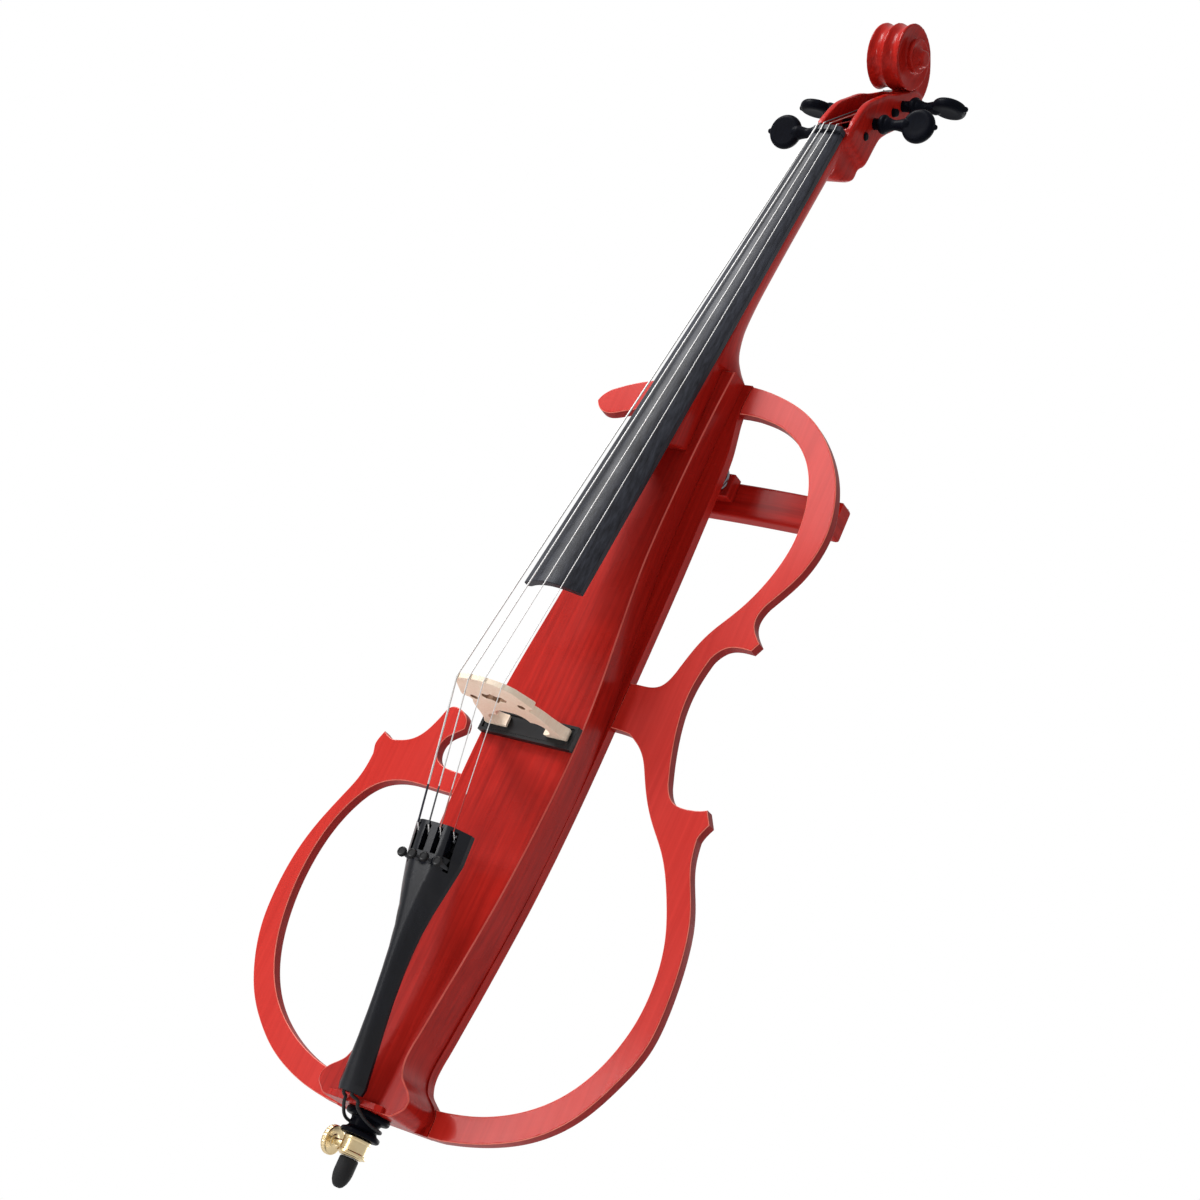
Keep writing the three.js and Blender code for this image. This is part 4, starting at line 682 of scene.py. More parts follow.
def eased(rows, radius, steps=4):
    """A profile with its corners rounded."""
    ring = rows[0] == rows[-1]
    points = [Vector(row) for row in (rows[:-1] if ring else rows)]
    result = []
    for i, corner in enumerate(points):
        if not ring and i in (0, len(points) - 1):
            result.append(tuple(corner))
            continue
        before, after = points[i - 1], points[(i + 1) % len(points)]
        reach = min(radius, (corner - before).length * 0.45, (corner - after).length * 0.45)
        start = corner + (before - corner).normalized() * reach
        stop = corner + (after - corner).normalized() * reach
        for step in range(steps + 1):
            share = step / steps
            point = start.lerp(corner, share).lerp(corner.lerp(stop, share), share)
            result.append((max(0.0, point.x), point.y))
    return result + [result[0]] if ring else result


def filled(rows, step):
    """A profile with more rows along its straight runs."""
    result = [rows[0]]
    for (r0, p0), (r1, p1) in zip(rows, rows[1:]):
        pieces = max(1, math.ceil(math.hypot(r1 - r0, p1 - p0) / step))
        result += [(r0 + (r1 - r0) * i / pieces, p0 + (p1 - p0) * i / pieces)
                   for i in range(1, pieces + 1)]
    return result


def stood(mesh, axis, centre):
    """Turns a piece from the Z axis to another, and sets it in place."""
    turn = Vector(axis).to_track_quat("Z", "Y").to_matrix().to_4x4()
    mesh.transform(Matrix.Translation(Vector(centre)) @ turn)
    return mesh


def box_of(node):
    """A CAD node's lowest and highest corners in millimetres."""
    low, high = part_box(node)
    return low / MM, high / MM


def axis_of(node):
    """Where a piece that points backwards has its axis."""
    low, high = box_of(node)
    return (low.x + high.x) / 2, 0, (low.z + high.z) / 2


def merged(node):
    """A copy of a CAD node's mesh in millimetres, with its loose corners joined."""
    mesh = frame["nodes"][node].data.copy()
    mesh.transform(Matrix.Scale(1 / MM, 4))
    mesh.materials.clear()

    def work(shape):
        bmesh.ops.remove_doubles(shape, verts=shape.verts, dist=WELD)
    return reworked(mesh, work)


def outlines(node, facing, drop):
    """The closed outlines of a CAD node's flat faces that look one way, largest first.
    drop is the axis that is left out. Faces stay in order, so each run starts at the same points."""
    shape = bmesh.new()
    shape.from_mesh(merged(node))
    shape.normal_update()
    flat = dict.fromkeys(face for face in shape.faces if face.normal.dot(Vector(facing)) > FLAT)
    following = {}
    for face in flat:
        for corner in face.loops:
            if not any(other in flat for other in corner.edge.link_faces if other != face):
                following[corner.vert] = corner.link_loop_next.vert
    loops = []
    while following:
        first = next(iter(following))
        loop, here = [], first
        while here in following:
            loop.append([part for axis, part in enumerate(here.co) if axis != drop])
            here = following.pop(here)
        loops.append(loop)
    shape.free()
    return sorted(loops, key=lambda loop: -abs(loop_area(loop)))


def loop_area(loop):
    return sum(a[0] * b[1] - b[0] * a[1] for a, b in zip(loop, loop[1:] + loop[:1])) / 2


def refined(loop, pieces=4, least=0.25):
    """A smooth run through an outline's points, sharp where the outline turns sharply."""
    points = []
    for point in map(Vector, loop):
        if not points or (point - points[-1]).length > least:
            points.append(point)
    if (points[0] - points[-1]).length <= least:
        points.pop()
    count = len(points)

    def sharp(i):
        arriving = points[i] - points[i - 1]
        leaving = points[(i + 1) % count] - points[i]
        return abs(arriving.angle_signed(leaving, 0.0)) > CORNER

    result = []
    for i in range(count):
        here, there = points[i], points[(i + 1) % count]
        before = 2 * here - there if sharp(i) else points[i - 1]
        after = 2 * there - here if sharp((i + 1) % count) else points[(i + 2) % count]
        result += [tuple(curve_point(before, here, there, after, k / pieces)) for k in range(pieces)]
    return result


def calmed(loop, kept_within, step=2.0, turns=(12, 90)):
    """An outline with its small kinks smoothed. Corners, and points near the middle, stay."""
    points = []
    for a, b in zip(map(Vector, loop), map(Vector, loop[1:] + loop[:1])):
        pieces = max(1, round((b - a).length / step))
        points += [a.lerp(b, k / pieces) for k in range(pieces)]
    count = len(points)

    def bend(i, reach):
        arriving = points[i] - points[i - reach]
        leaving = points[(i + reach) % count] - points[i]
        return abs(arriving.angle_signed(leaving, 0.0))

    free = [abs(points[i].x) > kept_within and bend(i, 2) < CORNER * 0.8 for i in range(count)]
    gentle = [free[i] and max(bend(i - k, 6) for k in range(-6, 7, 3) if i - k < count) < CORNER * 0.6
              for i in range(count)]
    for chosen, rounds in zip((free, gentle), turns):
        for _ in range(rounds):
            middles = [(points[i - 1] + points[(i + 1) % count]) / 2 for i in range(count)]
            points = [p.lerp(m, 0.5) if chosen[i] else p for i, (p, m) in enumerate(zip(points, middles))]
    return [tuple(point) for point in points]


def curve_point(before, here, there, after, share):
    """A place on the centripetal curve from here to there."""
    t0 = 0.0
    t1 = t0 + math.sqrt((here - before).length) or 1e-6
    t2 = t1 + math.sqrt((there - here).length)
    t3 = t2 + math.sqrt((after - there).length)
    t = t1 + (t2 - t1) * share
    a1 = before * ((t1 - t) / (t1 - t0)) + here * ((t - t0) / (t1 - t0))
    a2 = here * ((t2 - t) / (t2 - t1)) + there * ((t - t1) / (t2 - t1))
    a3 = there * ((t3 - t) / (t3 - t2)) + after * ((t - t2) / (t3 - t2))
    b1 = a1 * ((t2 - t) / (t2 - t0)) + a2 * ((t - t0) / (t2 - t0))
    b2 = a2 * ((t3 - t) / (t3 - t1)) + a3 * ((t - t1) / (t3 - t1))
    return b1 * ((t2 - t) / (t2 - t1)) + b2 * ((t - t1) / (t2 - t1))


SLAB_TURNS = {
    "X": Matrix(((0, 0, 1, 0), (1, 0, 0, 0), (0, 1, 0, 0), (0, 0, 0, 1))),
    "Y": Matrix(((1, 0, 0, 0), (0, 0, -1, 0), (0, 1, 0, 0), (0, 0, 0, 1))),
    "Z": Matrix.Identity(4),
}


def slab(loops, axis, low, high, rounding=0.0, steps=ROUND_STEPS):
    """A board from closed outlines, the first outside and the rest its holes, with rounded edges."""
    curve = bpy.data.curves.new("work", "CURVE")
    curve.dimensions = "2D"
    curve.fill_mode = "BOTH"
    curve.extrude = (high - low) / 2 - rounding
    curve.bevel_depth = rounding
    curve.bevel_resolution = steps
    curve.offset = -rounding
    for loop in loops:
        spline = curve.splines.new("POLY")
        spline.points.add(len(loop) - 1)
        for point, (a, b) in zip(spline.points, loop):
            point.co = (a, b, 0, 1)
        spline.use_cyclic_u = True
    mesh = welded(baked(linked("work", curve)))
    mesh.transform(SLAB_TURNS[axis])
    middle = (low + high) / 2
    mesh.transform(Matrix.Translation([middle if name == axis else 0 for name in "XYZ"]))
    return mesh


def block(left, right, bottom, top, axis, low, high):
    """A board with square corners and edges."""
    return slab([[(left, bottom), (right, bottom), (right, top), (left, top)]], axis, low, high)


def leant(mesh):
    """Leans the front of a board with the centre body's plate."""
    return moved(mesh, lambda co: Vector((
        co.x, co.y + (PLATE_LEAN * (co.z - BRIDGE_LEVEL) if co.y < 0 else 0), co.z)))


def eased_copy(node, width, segments=3):
    """A CAD node's own form with its edges rounded."""
    def work(shape):
        bmesh.ops.dissolve_limit(
            shape, angle_limit=math.radians(0.5), verts=shape.verts, edges=shape.edges)
    mesh = reworked(merged(node), work)
    return altered(mesh, "BEVEL", width=width, segments=segments, limit_method="ANGLE",
                   angle_limit=math.radians(25), miter_outer="MITER_ARC")


def place(name, mesh, *nodes, look=None):
    """Finishes a piece: metres, box, smooth faces, the material of its node's slot, the body it rides on,
    and hides its nodes.
    """
    mesh.transform(Matrix.Scale(MM, 4))
    lows, highs = zip(*(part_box(node) for node in nodes))
    low = [min(values) for values in zip(*lows)]
    high = [max(values) for values in zip(*highs)]
    for vertex in mesh.vertices:
        vertex.co = [min(max(part, low[axis]), high[axis]) for axis, part in enumerate(vertex.co)]
    slot = slot_of[nodes[0]]
    kept = [material for material in mesh.materials if material]
    if not kept:
        mesh.materials.clear()
        mesh.materials.append(finish(look or slot))
    mesh.polygons.foreach_set("use_smooth", [True] * len(mesh.polygons))
    mesh.set_sharp_from_angle(angle=SMOOTH_ANGLE)
    mesh = altered(mesh, "WEIGHTED_NORMAL", weight=100, keep_sharp=True)
    mesh.name = name
    piece = linked(name, mesh)
    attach(piece, frame["nodes"][nodes[0]]["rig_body"])
    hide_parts(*nodes)
    return piece


slot_of = {row["node"]: row["material_slot"] for row in frame["record"]["subparts"]}


def along(rows, at, column):
    """A smooth value between the rows of a table."""
    places = [row[0] for row in rows]
    i = max(0, min(len(rows) - 2, sum(1 for value in places if value <= at) - 1))
    share = (at - places[i]) / (places[i + 1] - places[i])
    values = [rows[max(0, min(len(rows) - 1, k))][column] for k in (i - 1, i, i + 1, i + 2)]
    gap = places[i + 1] - places[i]
    slopes = []
    for k in (i, i + 1):
        low, high = max(0, k - 1), min(len(rows) - 1, k + 1)
        slopes.append((rows[high][column] - rows[low][column]) / (places[high] - places[low]) * gap)
    s2, s3 = share ** 2, share ** 3
    return ((2 * s3 - 3 * s2 + 1) * values[1] + (s3 - 2 * s2 + share) * slopes[0]
            + (3 * s2 - 2 * s3) * values[2] + (s3 - s2) * slopes[1])


def sizes():
    return bpy.context.scene.cello_sizes


LEAD_HOLE_AREA = 40.0


class CELLO_OT_centre_body(bpy.types.Operator):
    """Makes the chambered centre body with its leaning front"""

    bl_idname = "cello.centre_body"
    bl_label = "Centre body"

    def execute(self, context):
        front = outlines("centre_body", (0, -1, 0), 1)
        back = outlines("centre_body", BACKWARDS, 1)
        far = box_of("centre_body")[1].y
        lead = [loop for loop in front[1:] if abs(loop_area(loop)) < LEAD_HOLE_AREA]
        edge = sizes().body_edge / MM
        body = slab([refined(loop) for loop in front[:1] + lead], "Y", PLATE_FRONT, far + edge, edge, 0)
        body = leant(moved(body, lambda co: Vector((co.x, min(co.y, far), co.z))))
        # The front chamfer's faces take the pale red, a painted highlight along the body's edge
        body = coated(body, ("red_varnish", "painted_highlight_varnish"),
                      lambda at, facing: at.y < 0 and -0.98 < facing.y < -0.1)
        chamber = leant(slab([back[1]], "Y", PLATE_FRONT + FRONT_WALL, far + OVERRUN))
        plug, low = box_of("endpin_plug")[1].z + SEAT, BODY_BOTTOM - OVERRUN
        shank = stood(turned([(0, low), (PLUG_BORE, low), (PLUG_BORE, plug), (ROD_BORE, plug),
                              (ROD_BORE, ROD_HOLE_TOP), (0, ROD_HOLE_TOP)]), UPWARDS, (0, 0, 0))
        place("varnished_centre_body", cut(body, chamber, shank), "centre_body")
        return {"FINISHED"}


BACK_EDGE = 0.9


class CELLO_OT_back_board(bpy.types.Operator):
    """Makes the back board with its window and screw holes"""

    bl_idname = "cello.back_board"
    bl_label = "Back board"

    def execute(self, context):
        loops = outlines("back_board", (0, -1, 0), 1)
        low, high = box_of("back_board")
        board = slab([refined(loop) for loop in loops[:2]], "Y", low.y - BACK_EDGE, high.y, BACK_EDGE)
        board = moved(board, lambda co: Vector((co.x, max(co.y, low.y), co.z)))
        holes = [stood(rod(PLATE_SCREW_BORE, high.y - 9, high.y + 1, 24), BACKWARDS, (x, 0, z))
                 for x in (-PLATE_SCREW_X, PLATE_SCREW_X) for z in PLATE_SCREW_LEVELS]
        bore = rod(SWIVEL_BORE, low.y + BORE_SKIN, high.y + 1, 32)
        board = cut(board, stood(bore, BACKWARDS, SWIVEL_PLACE), *holes)
        place("varnished_back_board", board, "back_board")
        return {"FINISHED"}


class CELLO_OT_side_frames(bpy.types.Operator):
    """Makes the two side frames and the short upper horn"""

    bl_idname = "cello.side_frames"
    bl_label = "Side frames"

    def execute(self, context):
        edge = sizes().frame_edge / MM
        for node, name in (("right_wing", "right_side_frame"), ("left_wing", "left_side_frame"),
                           ("left_horn", "left_upper_horn")):
            low, high = box_of(node)
            loops = outlines(node, (0, -1, 0), 1)
            outline = calmed(refined(loops[0]), SEAM_REACH)
            board = slab([outline], "Y", low.y, high.y, edge)
            # Fronts and backs keep the frame red; the rounding strip gets a pale red, a painted highlight;
            # the side walls get a dark red, painted shade
            board = coated(board, ("lit_frame_varnish", "painted_highlight_frame", "painted_shade_wall_varnish"),
                           lambda _at, facing: (abs(facing.y) < FLAT) + (abs(facing.y) < 0.2))
            place(name, board, node)
        return {"FINISHED"}


# Neck: share of the length, back and front half-width shares, depth share, squareness
NECK_ROWS = [
    (0, 1.0, 0.51, 1.0, 5), (0.015, 0.90, 0.53, 0.985, 4.5), (0.04, 0.74, 0.55, 0.95, 4),
    (0.075, 0.60, 0.545, 0.86, 3.2), (0.115, 0.53, 0.53, 0.75, 2.8), (0.19, 0.47, 0.49, 0.63, 2.5),
    (0.36, 0.435, 0.455, 0.53, 2.4), (1, 0.345, 0.36, 0.43, 2.4),
]
NECK_RINGS = 60
NECK_QUARTER = 20
NECK_HALF = 43.0
NECK_DEPTH = 49.0
HEEL_LENGTH = 103.0
HEEL_SLANT = 12.0
HEEL_HALF = 22.5
HEEL_END_HALF = 25.0
BOARD_EDGE = 6.4
BOARD_NUT_TOP = 24.5
BOARD_RISE = (17.0 + 117.0) / 690.0 - 13.5 / 577.0


def board_top(z):
    return BOARD_NUT_TOP - BOARD_RISE * (NUT_LEVEL - z)


def board_under(z):
    return board_top(z) + BOARD_EDGE


def plate_y(z):
    return PLATE_FRONT + PLATE_LEAN * (z - BRIDGE_LEVEL)


def neck_shaft():
    rings = []
    length = NUT_LEVEL - BODY_TOP - SEAT
    for share in [0, 0.006] + [(i / NECK_RINGS) ** 1.4 for i in range(3, NECK_RINGS + 1)]:
        back, front, depth, square = (along(NECK_ROWS, share, column) for column in (1, 2, 3, 4))
        z = BODY_TOP + SEAT + share * length
        ring = []
        for i in range(2 * NECK_QUARTER + 1):
            turn = i / (2 * NECK_QUARTER) * math.pi
            cosine = math.cos(turn) if i != NECK_QUARTER else 0.0
            across = math.copysign(abs(cosine) ** (2 / square), cosine)
            inward = abs(math.sin(turn)) ** (2 / square) if 0 < i < 2 * NECK_QUARTER else 0.0
            half = NECK_HALF * (front + (back - front) * inward)
            ring.append((across * half, board_under(z) + SEAT + inward * depth * NECK_DEPTH, z))
        rings.append(ring)
    return lofted(rings)


def heel():
    low, high = BODY_TOP - HEEL_LENGTH, BODY_TOP + HEEL_SLANT
    outline = [
        (board_under(high) + SEAT, high), (board_under(low) + SEAT, low),
        (plate_y(low + HEEL_SLANT) - SEAT, low + HEEL_SLANT), (plate_y(BODY_TOP) - SEAT, BODY_TOP),
        (plate_y(BODY_TOP) - SEAT, high),
    ]
    wedge = slab([outline], "X", -1, 1)
    return moved(wedge, lambda co: Vector((
        co.x * (HEEL_HALF + (HEEL_END_HALF - HEEL_HALF) * max(0, (BODY_TOP - co.z) / HEEL_LENGTH)),
        co.y, co.z)))


# Head: outlines as depth and height shares from the nut's seat
HEAD_HEIGHT = 178.0
HEAD_DEPTH = 100.0
CHEEK_HALF = 22.5
CHEEK_WALL = 7.5
RIM_ROUNDING = 2.2
HEAD_FRONT = [
    (0.003, 0), (0.003, 0.038), (-0.01, 0.067), (0.04, 0.197), (0.11, 0.292), (0.24, 0.382),
    (0.37, 0.466), (0.50, 0.523), (0.68, 0.618), (0.84, 0.70),
]
HEAD_BACK = [
    (1.0, 0.73), (1.033, 0.685), (0.98, 0.61), (0.91, 0.534), (0.72, 0.36), (0.62, 0.292),
    (0.52, 0.208), (0.475, 0.084), (0.465, 0.03), (0.46, -0.005), (0.485, -0.05), (0.475, -0.09),
    (0.41, -0.135), (0.34, -0.163), (0.26, -0.183), (0.17, -0.195), (0.10, -0.19), (0.05, -0.175),
]
CHEEK_ROWS = [
    (-0.253, 0.60), (-0.10, 0.65), (-0.03, 0.67), (-0.008, 0.93), (0.022, 1), (0.10, 1), (0.70, 0.71),
    (0.73, 0.71),
]
CHIN_LENGTH = 13.0
CHIN_END = 35.0
CHIN_TAPER = 0.96
CHEEK_GRID = 1.5
MORTISE = [
    (-0.4, 0.062), (0.37, 0.062), (0.391, 0.146), (0.431, 0.230), (0.531, 0.320), (0.636, 0.388),
    (0.826, 0.562), (0.80, 0.601), (0.1, 0.601),
]
HEAD_SEAT = board_under(NUT_LEVEL)
PEGS = {
    "c": (-1, 0.247, 0.118, 20), "g": (-1, 0.572, 0.427, 105),
    "d": (1, 0.702, 0.528, 100), "a": (1, 0.319, 0.236, 15),
}


def head_point(depth, height):
    return HEAD_SEAT + depth * HEAD_DEPTH, NUT_LEVEL + height * HEAD_HEIGHT


def cheek_at(z):
    share = max(CHEEK_ROWS[0][0], min(CHEEK_ROWS[-1][0], (z - NUT_LEVEL) / HEAD_HEIGHT))
    return CHEEK_HALF * along(CHEEK_ROWS, share, 1)


def pegbox():
    outline = refined([head_point(*row) for row in HEAD_FRONT + HEAD_BACK], pieces=3)
    cheeks = altered(slab([outline], "X", -CHEEK_HALF, CHEEK_HALF, RIM_ROUNDING), "TRIANGULATE")
    cheeks = regridded(cheeks, CHEEK_GRID)

    def shaped(co):
        half = cheek_at(co.z)
        into = min(1, max(0, (NUT_LEVEL - CHIN_END + CHIN_LENGTH - co.z) / CHIN_LENGTH))
        return Vector((co.x / CHEEK_HALF * half * math.sqrt(1 - CHIN_TAPER * into ** 2), co.y, co.z))
    cheeks = moved(cheeks, shaped)
    mortise = slab([refined([head_point(*row) for row in MORTISE], pieces=2)], "X", -1, 1)
    mortise = moved(mortise, lambda co: Vector((co.x * (cheek_at(co.z) - CHEEK_WALL), co.y, co.z)))
    return cut(cheeks, mortise)


# Scroll: turns from the back, radius share, half-width share
VOLUTE_ROWS = [
    (-0.08, 1.48, 0.86), (0, 1.34, 0.90), (0.1, 1.14, 0.95), (0.25, 1.01, 1.0), (0.5, 1.0, 1.06),
    (0.75, 0.96, 1.12), (1, 0.77, 1.28), (1.25, 0.62, 1.36), (1.5, 0.54, 1.42), (1.75, 0.45, 1.5),
    (2, 0.36, 1.6),
]
VOLUTE_RADIUS = 36.0
VOLUTE_HALF = 17.0
VOLUTE_PLACE = head_point(0.54, 0.798)
VOLUTE_CORE = 0.3
VOLUTE_SPANS = (-0.08, 0.5, 1.25, 2)
VOLUTE_DISH = 1.6
FLUTED_SHARE = 0.9
BACK_STEPS = 20
BACK_SHARE = 0.955
EYE_RADIUS = 9.0
EYE_HALF = 32.0
EYE_ROUNDING = 3.2
CORE_HALF = 25.6


def flute_at(across):
    """How deep the scroll's back is grooved, 0 to 1, at a share of its half-width."""
    share = abs(across)
    if share > FLUTED_SHARE:
        return 0.0
    return math.sin(math.pi * share / FLUTED_SHARE) ** 0.8


def volute(start, stop):
    rings = []
    y, z = VOLUTE_PLACE
    steps = round((stop - start) * 72)
    for step in range(steps + 1):
        turns = start + (stop - start) * step / steps
        outer = VOLUTE_RADIUS * along(VOLUTE_ROWS, turns, 1)
        half = VOLUTE_HALF * along(VOLUTE_ROWS, turns, 2)
        inner = VOLUTE_CORE * VOLUTE_RADIUS * min(1, outer / VOLUTE_RADIUS)
        forth, up = math.cos(turns * 2 * math.pi), math.sin(turns * 2 * math.pi)
        depth = sizes().flute_depth / MM * min(1, max(0, 1.15 - turns * 0.3))
        dished, middle, shoulder = half - VOLUTE_DISH, (inner + outer) / 2, outer - VOLUTE_DISH
        section = [(-half, inner), (half, inner), (dished, middle), (half, shoulder)]
        section += [(across * half, outer - depth * flute_at(across))
                    for across in [BACK_SHARE - i * BACK_SHARE / 10 for i in range(BACK_STEPS + 1)]]
        section += [(-half, shoulder), (-dished, middle)]
        rings.append([(x, y + forth * reach, z + up * reach) for x, reach in section])
    return lofted(rings)


def scroll():
    y, z = VOLUTE_PLACE
    core = rod(VOLUTE_CORE * VOLUTE_RADIUS + SEAT, -CORE_HALF, CORE_HALF)
    eye = turned(eased(rod_rows(EYE_RADIUS, -EYE_HALF, EYE_HALF), EYE_ROUNDING))
    parts = [stood(part, SIDEWAYS, (0, y, z)) for part in (core, eye)]
    return parts + [volute(start, stop) for start, stop in zip(VOLUTE_SPANS, VOLUTE_SPANS[1:])]


PEG_BORE_ROWS = [(0, -27), (4.5, -27), (4.5, -24), (6.1, 24), (6.1, 27), (0, 27)]


class CELLO_OT_neck(bpy.types.Operator):
    """Carves the neck, heel, pegbox and scroll from one piece"""

    bl_idname = "cello.neck"
    bl_label = "Neck and scroll"

    def execute(self, context):
        rough = joined(neck_shaft(), heel(), pegbox(), *scroll())
        carved = altered(regridded(rough, sizes().carving_grid / MM), "SMOOTH", factor=0.5, iterations=3)
        bores = []
        for side, depth, height, _turn in PEGS.values():
            y, z = head_point(depth, height)
            bore = turned(PEG_BORE_ROWS, 40)
            bores.append(stood(bore, (side, 0, 0), (0, y, z)))
        carved = cut(carved, *bores, solver="MANIFOLD")
        place("carved_neck", carved, "neck")
        return {"FINISHED"}


BOARD_STEPS = 32
BOARD_NUT_HALF = 16
BOARD_WIDENING = 15
BOARD_NUT_CROWN = 3
BOARD_ARCHING = 8.5
# Hollow under the fingerboard: share of the length, share of the depth
HOLLOW_ROWS = [(0, 0), (0.70, 0), (0.73, 0.6), (1, 1)]
HOLLOW_DEPTH = 9
HOLLOW_SHARE = 0.84


class CELLO_OT_fingerboard(bpy.types.Operator):
    """Shapes the fingerboard, arched above and hollowed under its free end"""

    bl_idname = "cello.fingerboard"
    bl_label = "Fingerboard"

    def execute(self, context):
        low, high = box_of("fingerboard")
        length = high.z - low.z
        steps = BOARD_STEPS // 2
        rings = []
        for share in [0, 0.2, 0.4, 0.6, 0.66] + [0.69 + i * 0.31 / 24 for i in range(25)]:
            z = high.z - share * length
            half = BOARD_NUT_HALF + BOARD_WIDENING * share
            crown = BOARD_NUT_CROWN + BOARD_ARCHING * share
            i = next(k for k in range(1, 4) if share <= HOLLOW_ROWS[k][0] + 1e-9)
            (s0, a0), (s1, a1) = HOLLOW_ROWS[i - 1:i + 1]
            hollow = HOLLOW_DEPTH * (a0 + (a1 - a0) * (share - s0) / (s1 - s0))
            top = board_top(z)
            over = [(x / steps * half, top - crown * (1 - (x / steps) ** 2), z)
                    for x in range(-steps, steps + 1)]
            under = []
            for x in range(steps, -steps - 1, -1):
                across = x / steps
                lift = hollow * (1 - (across / HOLLOW_SHARE) ** 2) if abs(across) < HOLLOW_SHARE else 0
                under.append((across * half, top + BOARD_EDGE - lift, z))
            rings.append(over + under)
        board = altered(lofted(rings), "BEVEL", width=0.7, segments=3, limit_method="ANGLE",
                        angle_limit=math.radians(40))
        place("black_fingerboard", board, "fingerboard")
        return {"FINISHED"}


class CELLO_OT_nut_and_saddle(bpy.types.Operator):
    """Makes the nut at the fingerboard's end and the saddle on the body's lower edge"""

    bl_idname = "cello.nut_and_saddle"
    bl_label = "Nut and saddle"

    def execute(self, context):
        place("grooved_nut", eased_copy("nut", 0.5), "nut")
        place("varnished_saddle", eased_copy("saddle", 0.5), "saddle")
        return {"FINISHED"}


ANKLE_RADIUS = 10.8
ANKLE_PLACE = (21.6, -35.4)
BRIDGE_FEET = PLATE_FRONT - 6.5
BRIDGE_HEIGHT = 93.0
BRIDGE_FOOT_HALF = 5.5
BRIDGE_TOP_HALF = 2.5
# Within this half-width and band the walls of the heart and kidney holes are painted dark brown, painted
# shade inside the holes
SHADED_HOLE_HALF = 30.6
SHADED_HOLE_BAND = (-92.0, -72.0)


class CELLO_OT_bridge(bpy.types.Operator):
    """Cuts the maple bridge with its heart, kidneys and ankles"""

    bl_idname = "cello.bridge"
    bl_label = "Bridge"

    def execute(self, context):
        loops = outlines("bridge", UPWARDS, 2)
        board = slab([refined(loop, pieces=5) for loop in loops], "Z", -BRIDGE_FOOT_HALF,
                     BRIDGE_FOOT_HALF, 0.7)
        for side in (-1, 1):
            x, y = ANKLE_PLACE
            board = cut(board, stood(rod(ANKLE_RADIUS, -9, 9, 56), UPWARDS, (side * x, y, 0)))

        def taper(co):
            height = min(1, max(0, (BRIDGE_FEET - co.y) / BRIDGE_HEIGHT))
            half = BRIDGE_FOOT_HALF + (BRIDGE_TOP_HALF - BRIDGE_FOOT_HALF) * height
            return Vector((co.x, co.y, BRIDGE_LEVEL + co.z / BRIDGE_FOOT_HALF * half))

        # Faces on the walls of the heart and kidney holes, which take the painted shade
        def shaded_hole(at, facing):
            low, high = SHADED_HOLE_BAND
            return abs(facing.z) < 0.5 and abs(at.x) < SHADED_HOLE_HALF and low < at.y < high
        board = coated(moved(board, taper), ("pale_maple", "painted_shade_maple"), shaded_hole)
        place("maple_bridge", board, "bridge")
        return {"FINISHED"}


LEAD_RADIUS = 1.15
LEAD_ROUTE = [
    (-30, -17.2, 428.4), (-30, -12, 428.4), (-30, -5, 428.2), (-30, 0, 425.5), (-29.4, 3.4, 420),
    (-28, 5.4, 410), (-25, 6.6, 398), (-21.5, 7.4, 388), (-19, 8.8, 378), (-18.3, 11.6, 372.6),
    (-18, 15.5, 370.2), (-18, 20.1, 369.4),
]


class CELLO_OT_pickup(bpy.types.Operator):
    """Makes the tray under the bridge, the pickup strip and its lead"""

    bl_idname = "cello.pickup"
    bl_label = "Pickup"

    def execute(self, context):
        place("pickup_tray_moulding", eased_copy("pickup_tray", 0.7), "pickup_tray")
        place("pickup_strip_bar", eased_copy("pickup_strip", 0.4), "pickup_strip")
        lead = strand(smooth_route(LEAD_ROUTE, 3), LEAD_RADIUS, 16, "black_cord")
        place("pickup_lead_wire", lead, "pickup_lead")
        return {"FINISHED"}


def smooth_route(points, pieces):
    """A smooth run through a route's points, which it keeps."""
    points = [Vector(point) for point in points]
    ends = [2 * points[0] - points[1]] + points + [2 * points[-1] - points[-2]]
    result = []
    for i in range(1, len(ends) - 2):
        result += [curve_point(*ends[i - 1:i + 3], k / pieces) for k in range(pieces)]
    return result + [points[-1]]


def strand(points, radius, sides, slot):
    """A round strand that follows points."""
    line = bpy.data.meshes.new("line")
    line.from_pydata([tuple(point) for point in points], [(i, i + 1) for i in range(len(points) - 1)], [])
    return grown(line, "strand", Radius=radius, Sides=sides, Material=finish(slot))


SILKS = {"c": "dark_silk", "g": "grey_silk", "d": "rose_silk", "a": "red_silk"}
# Strings: place across, radius, depth at the nut and the bridge, tuner's depth, start of the winding
STRINGS = {
    "c": (-1.5, 0.85, 18, -113, -68.401, 12.2),
    "g": (-0.5, 0.65, 17, -117, -71.401, 8),
    "d": (0.5, 0.5, 17, -116, -71.401, 8),
    "a": (1.5, 0.4, 18, -110, -68.401, 12.6),
}
TAIL_TOP = 304.4
TAIL_LENGTH = 232.0
TAIL_HALF = 30.5
TAIL_DEPTH = 19.0 * 0.72
TAIL_CROWN = (-84.2, -46.0)
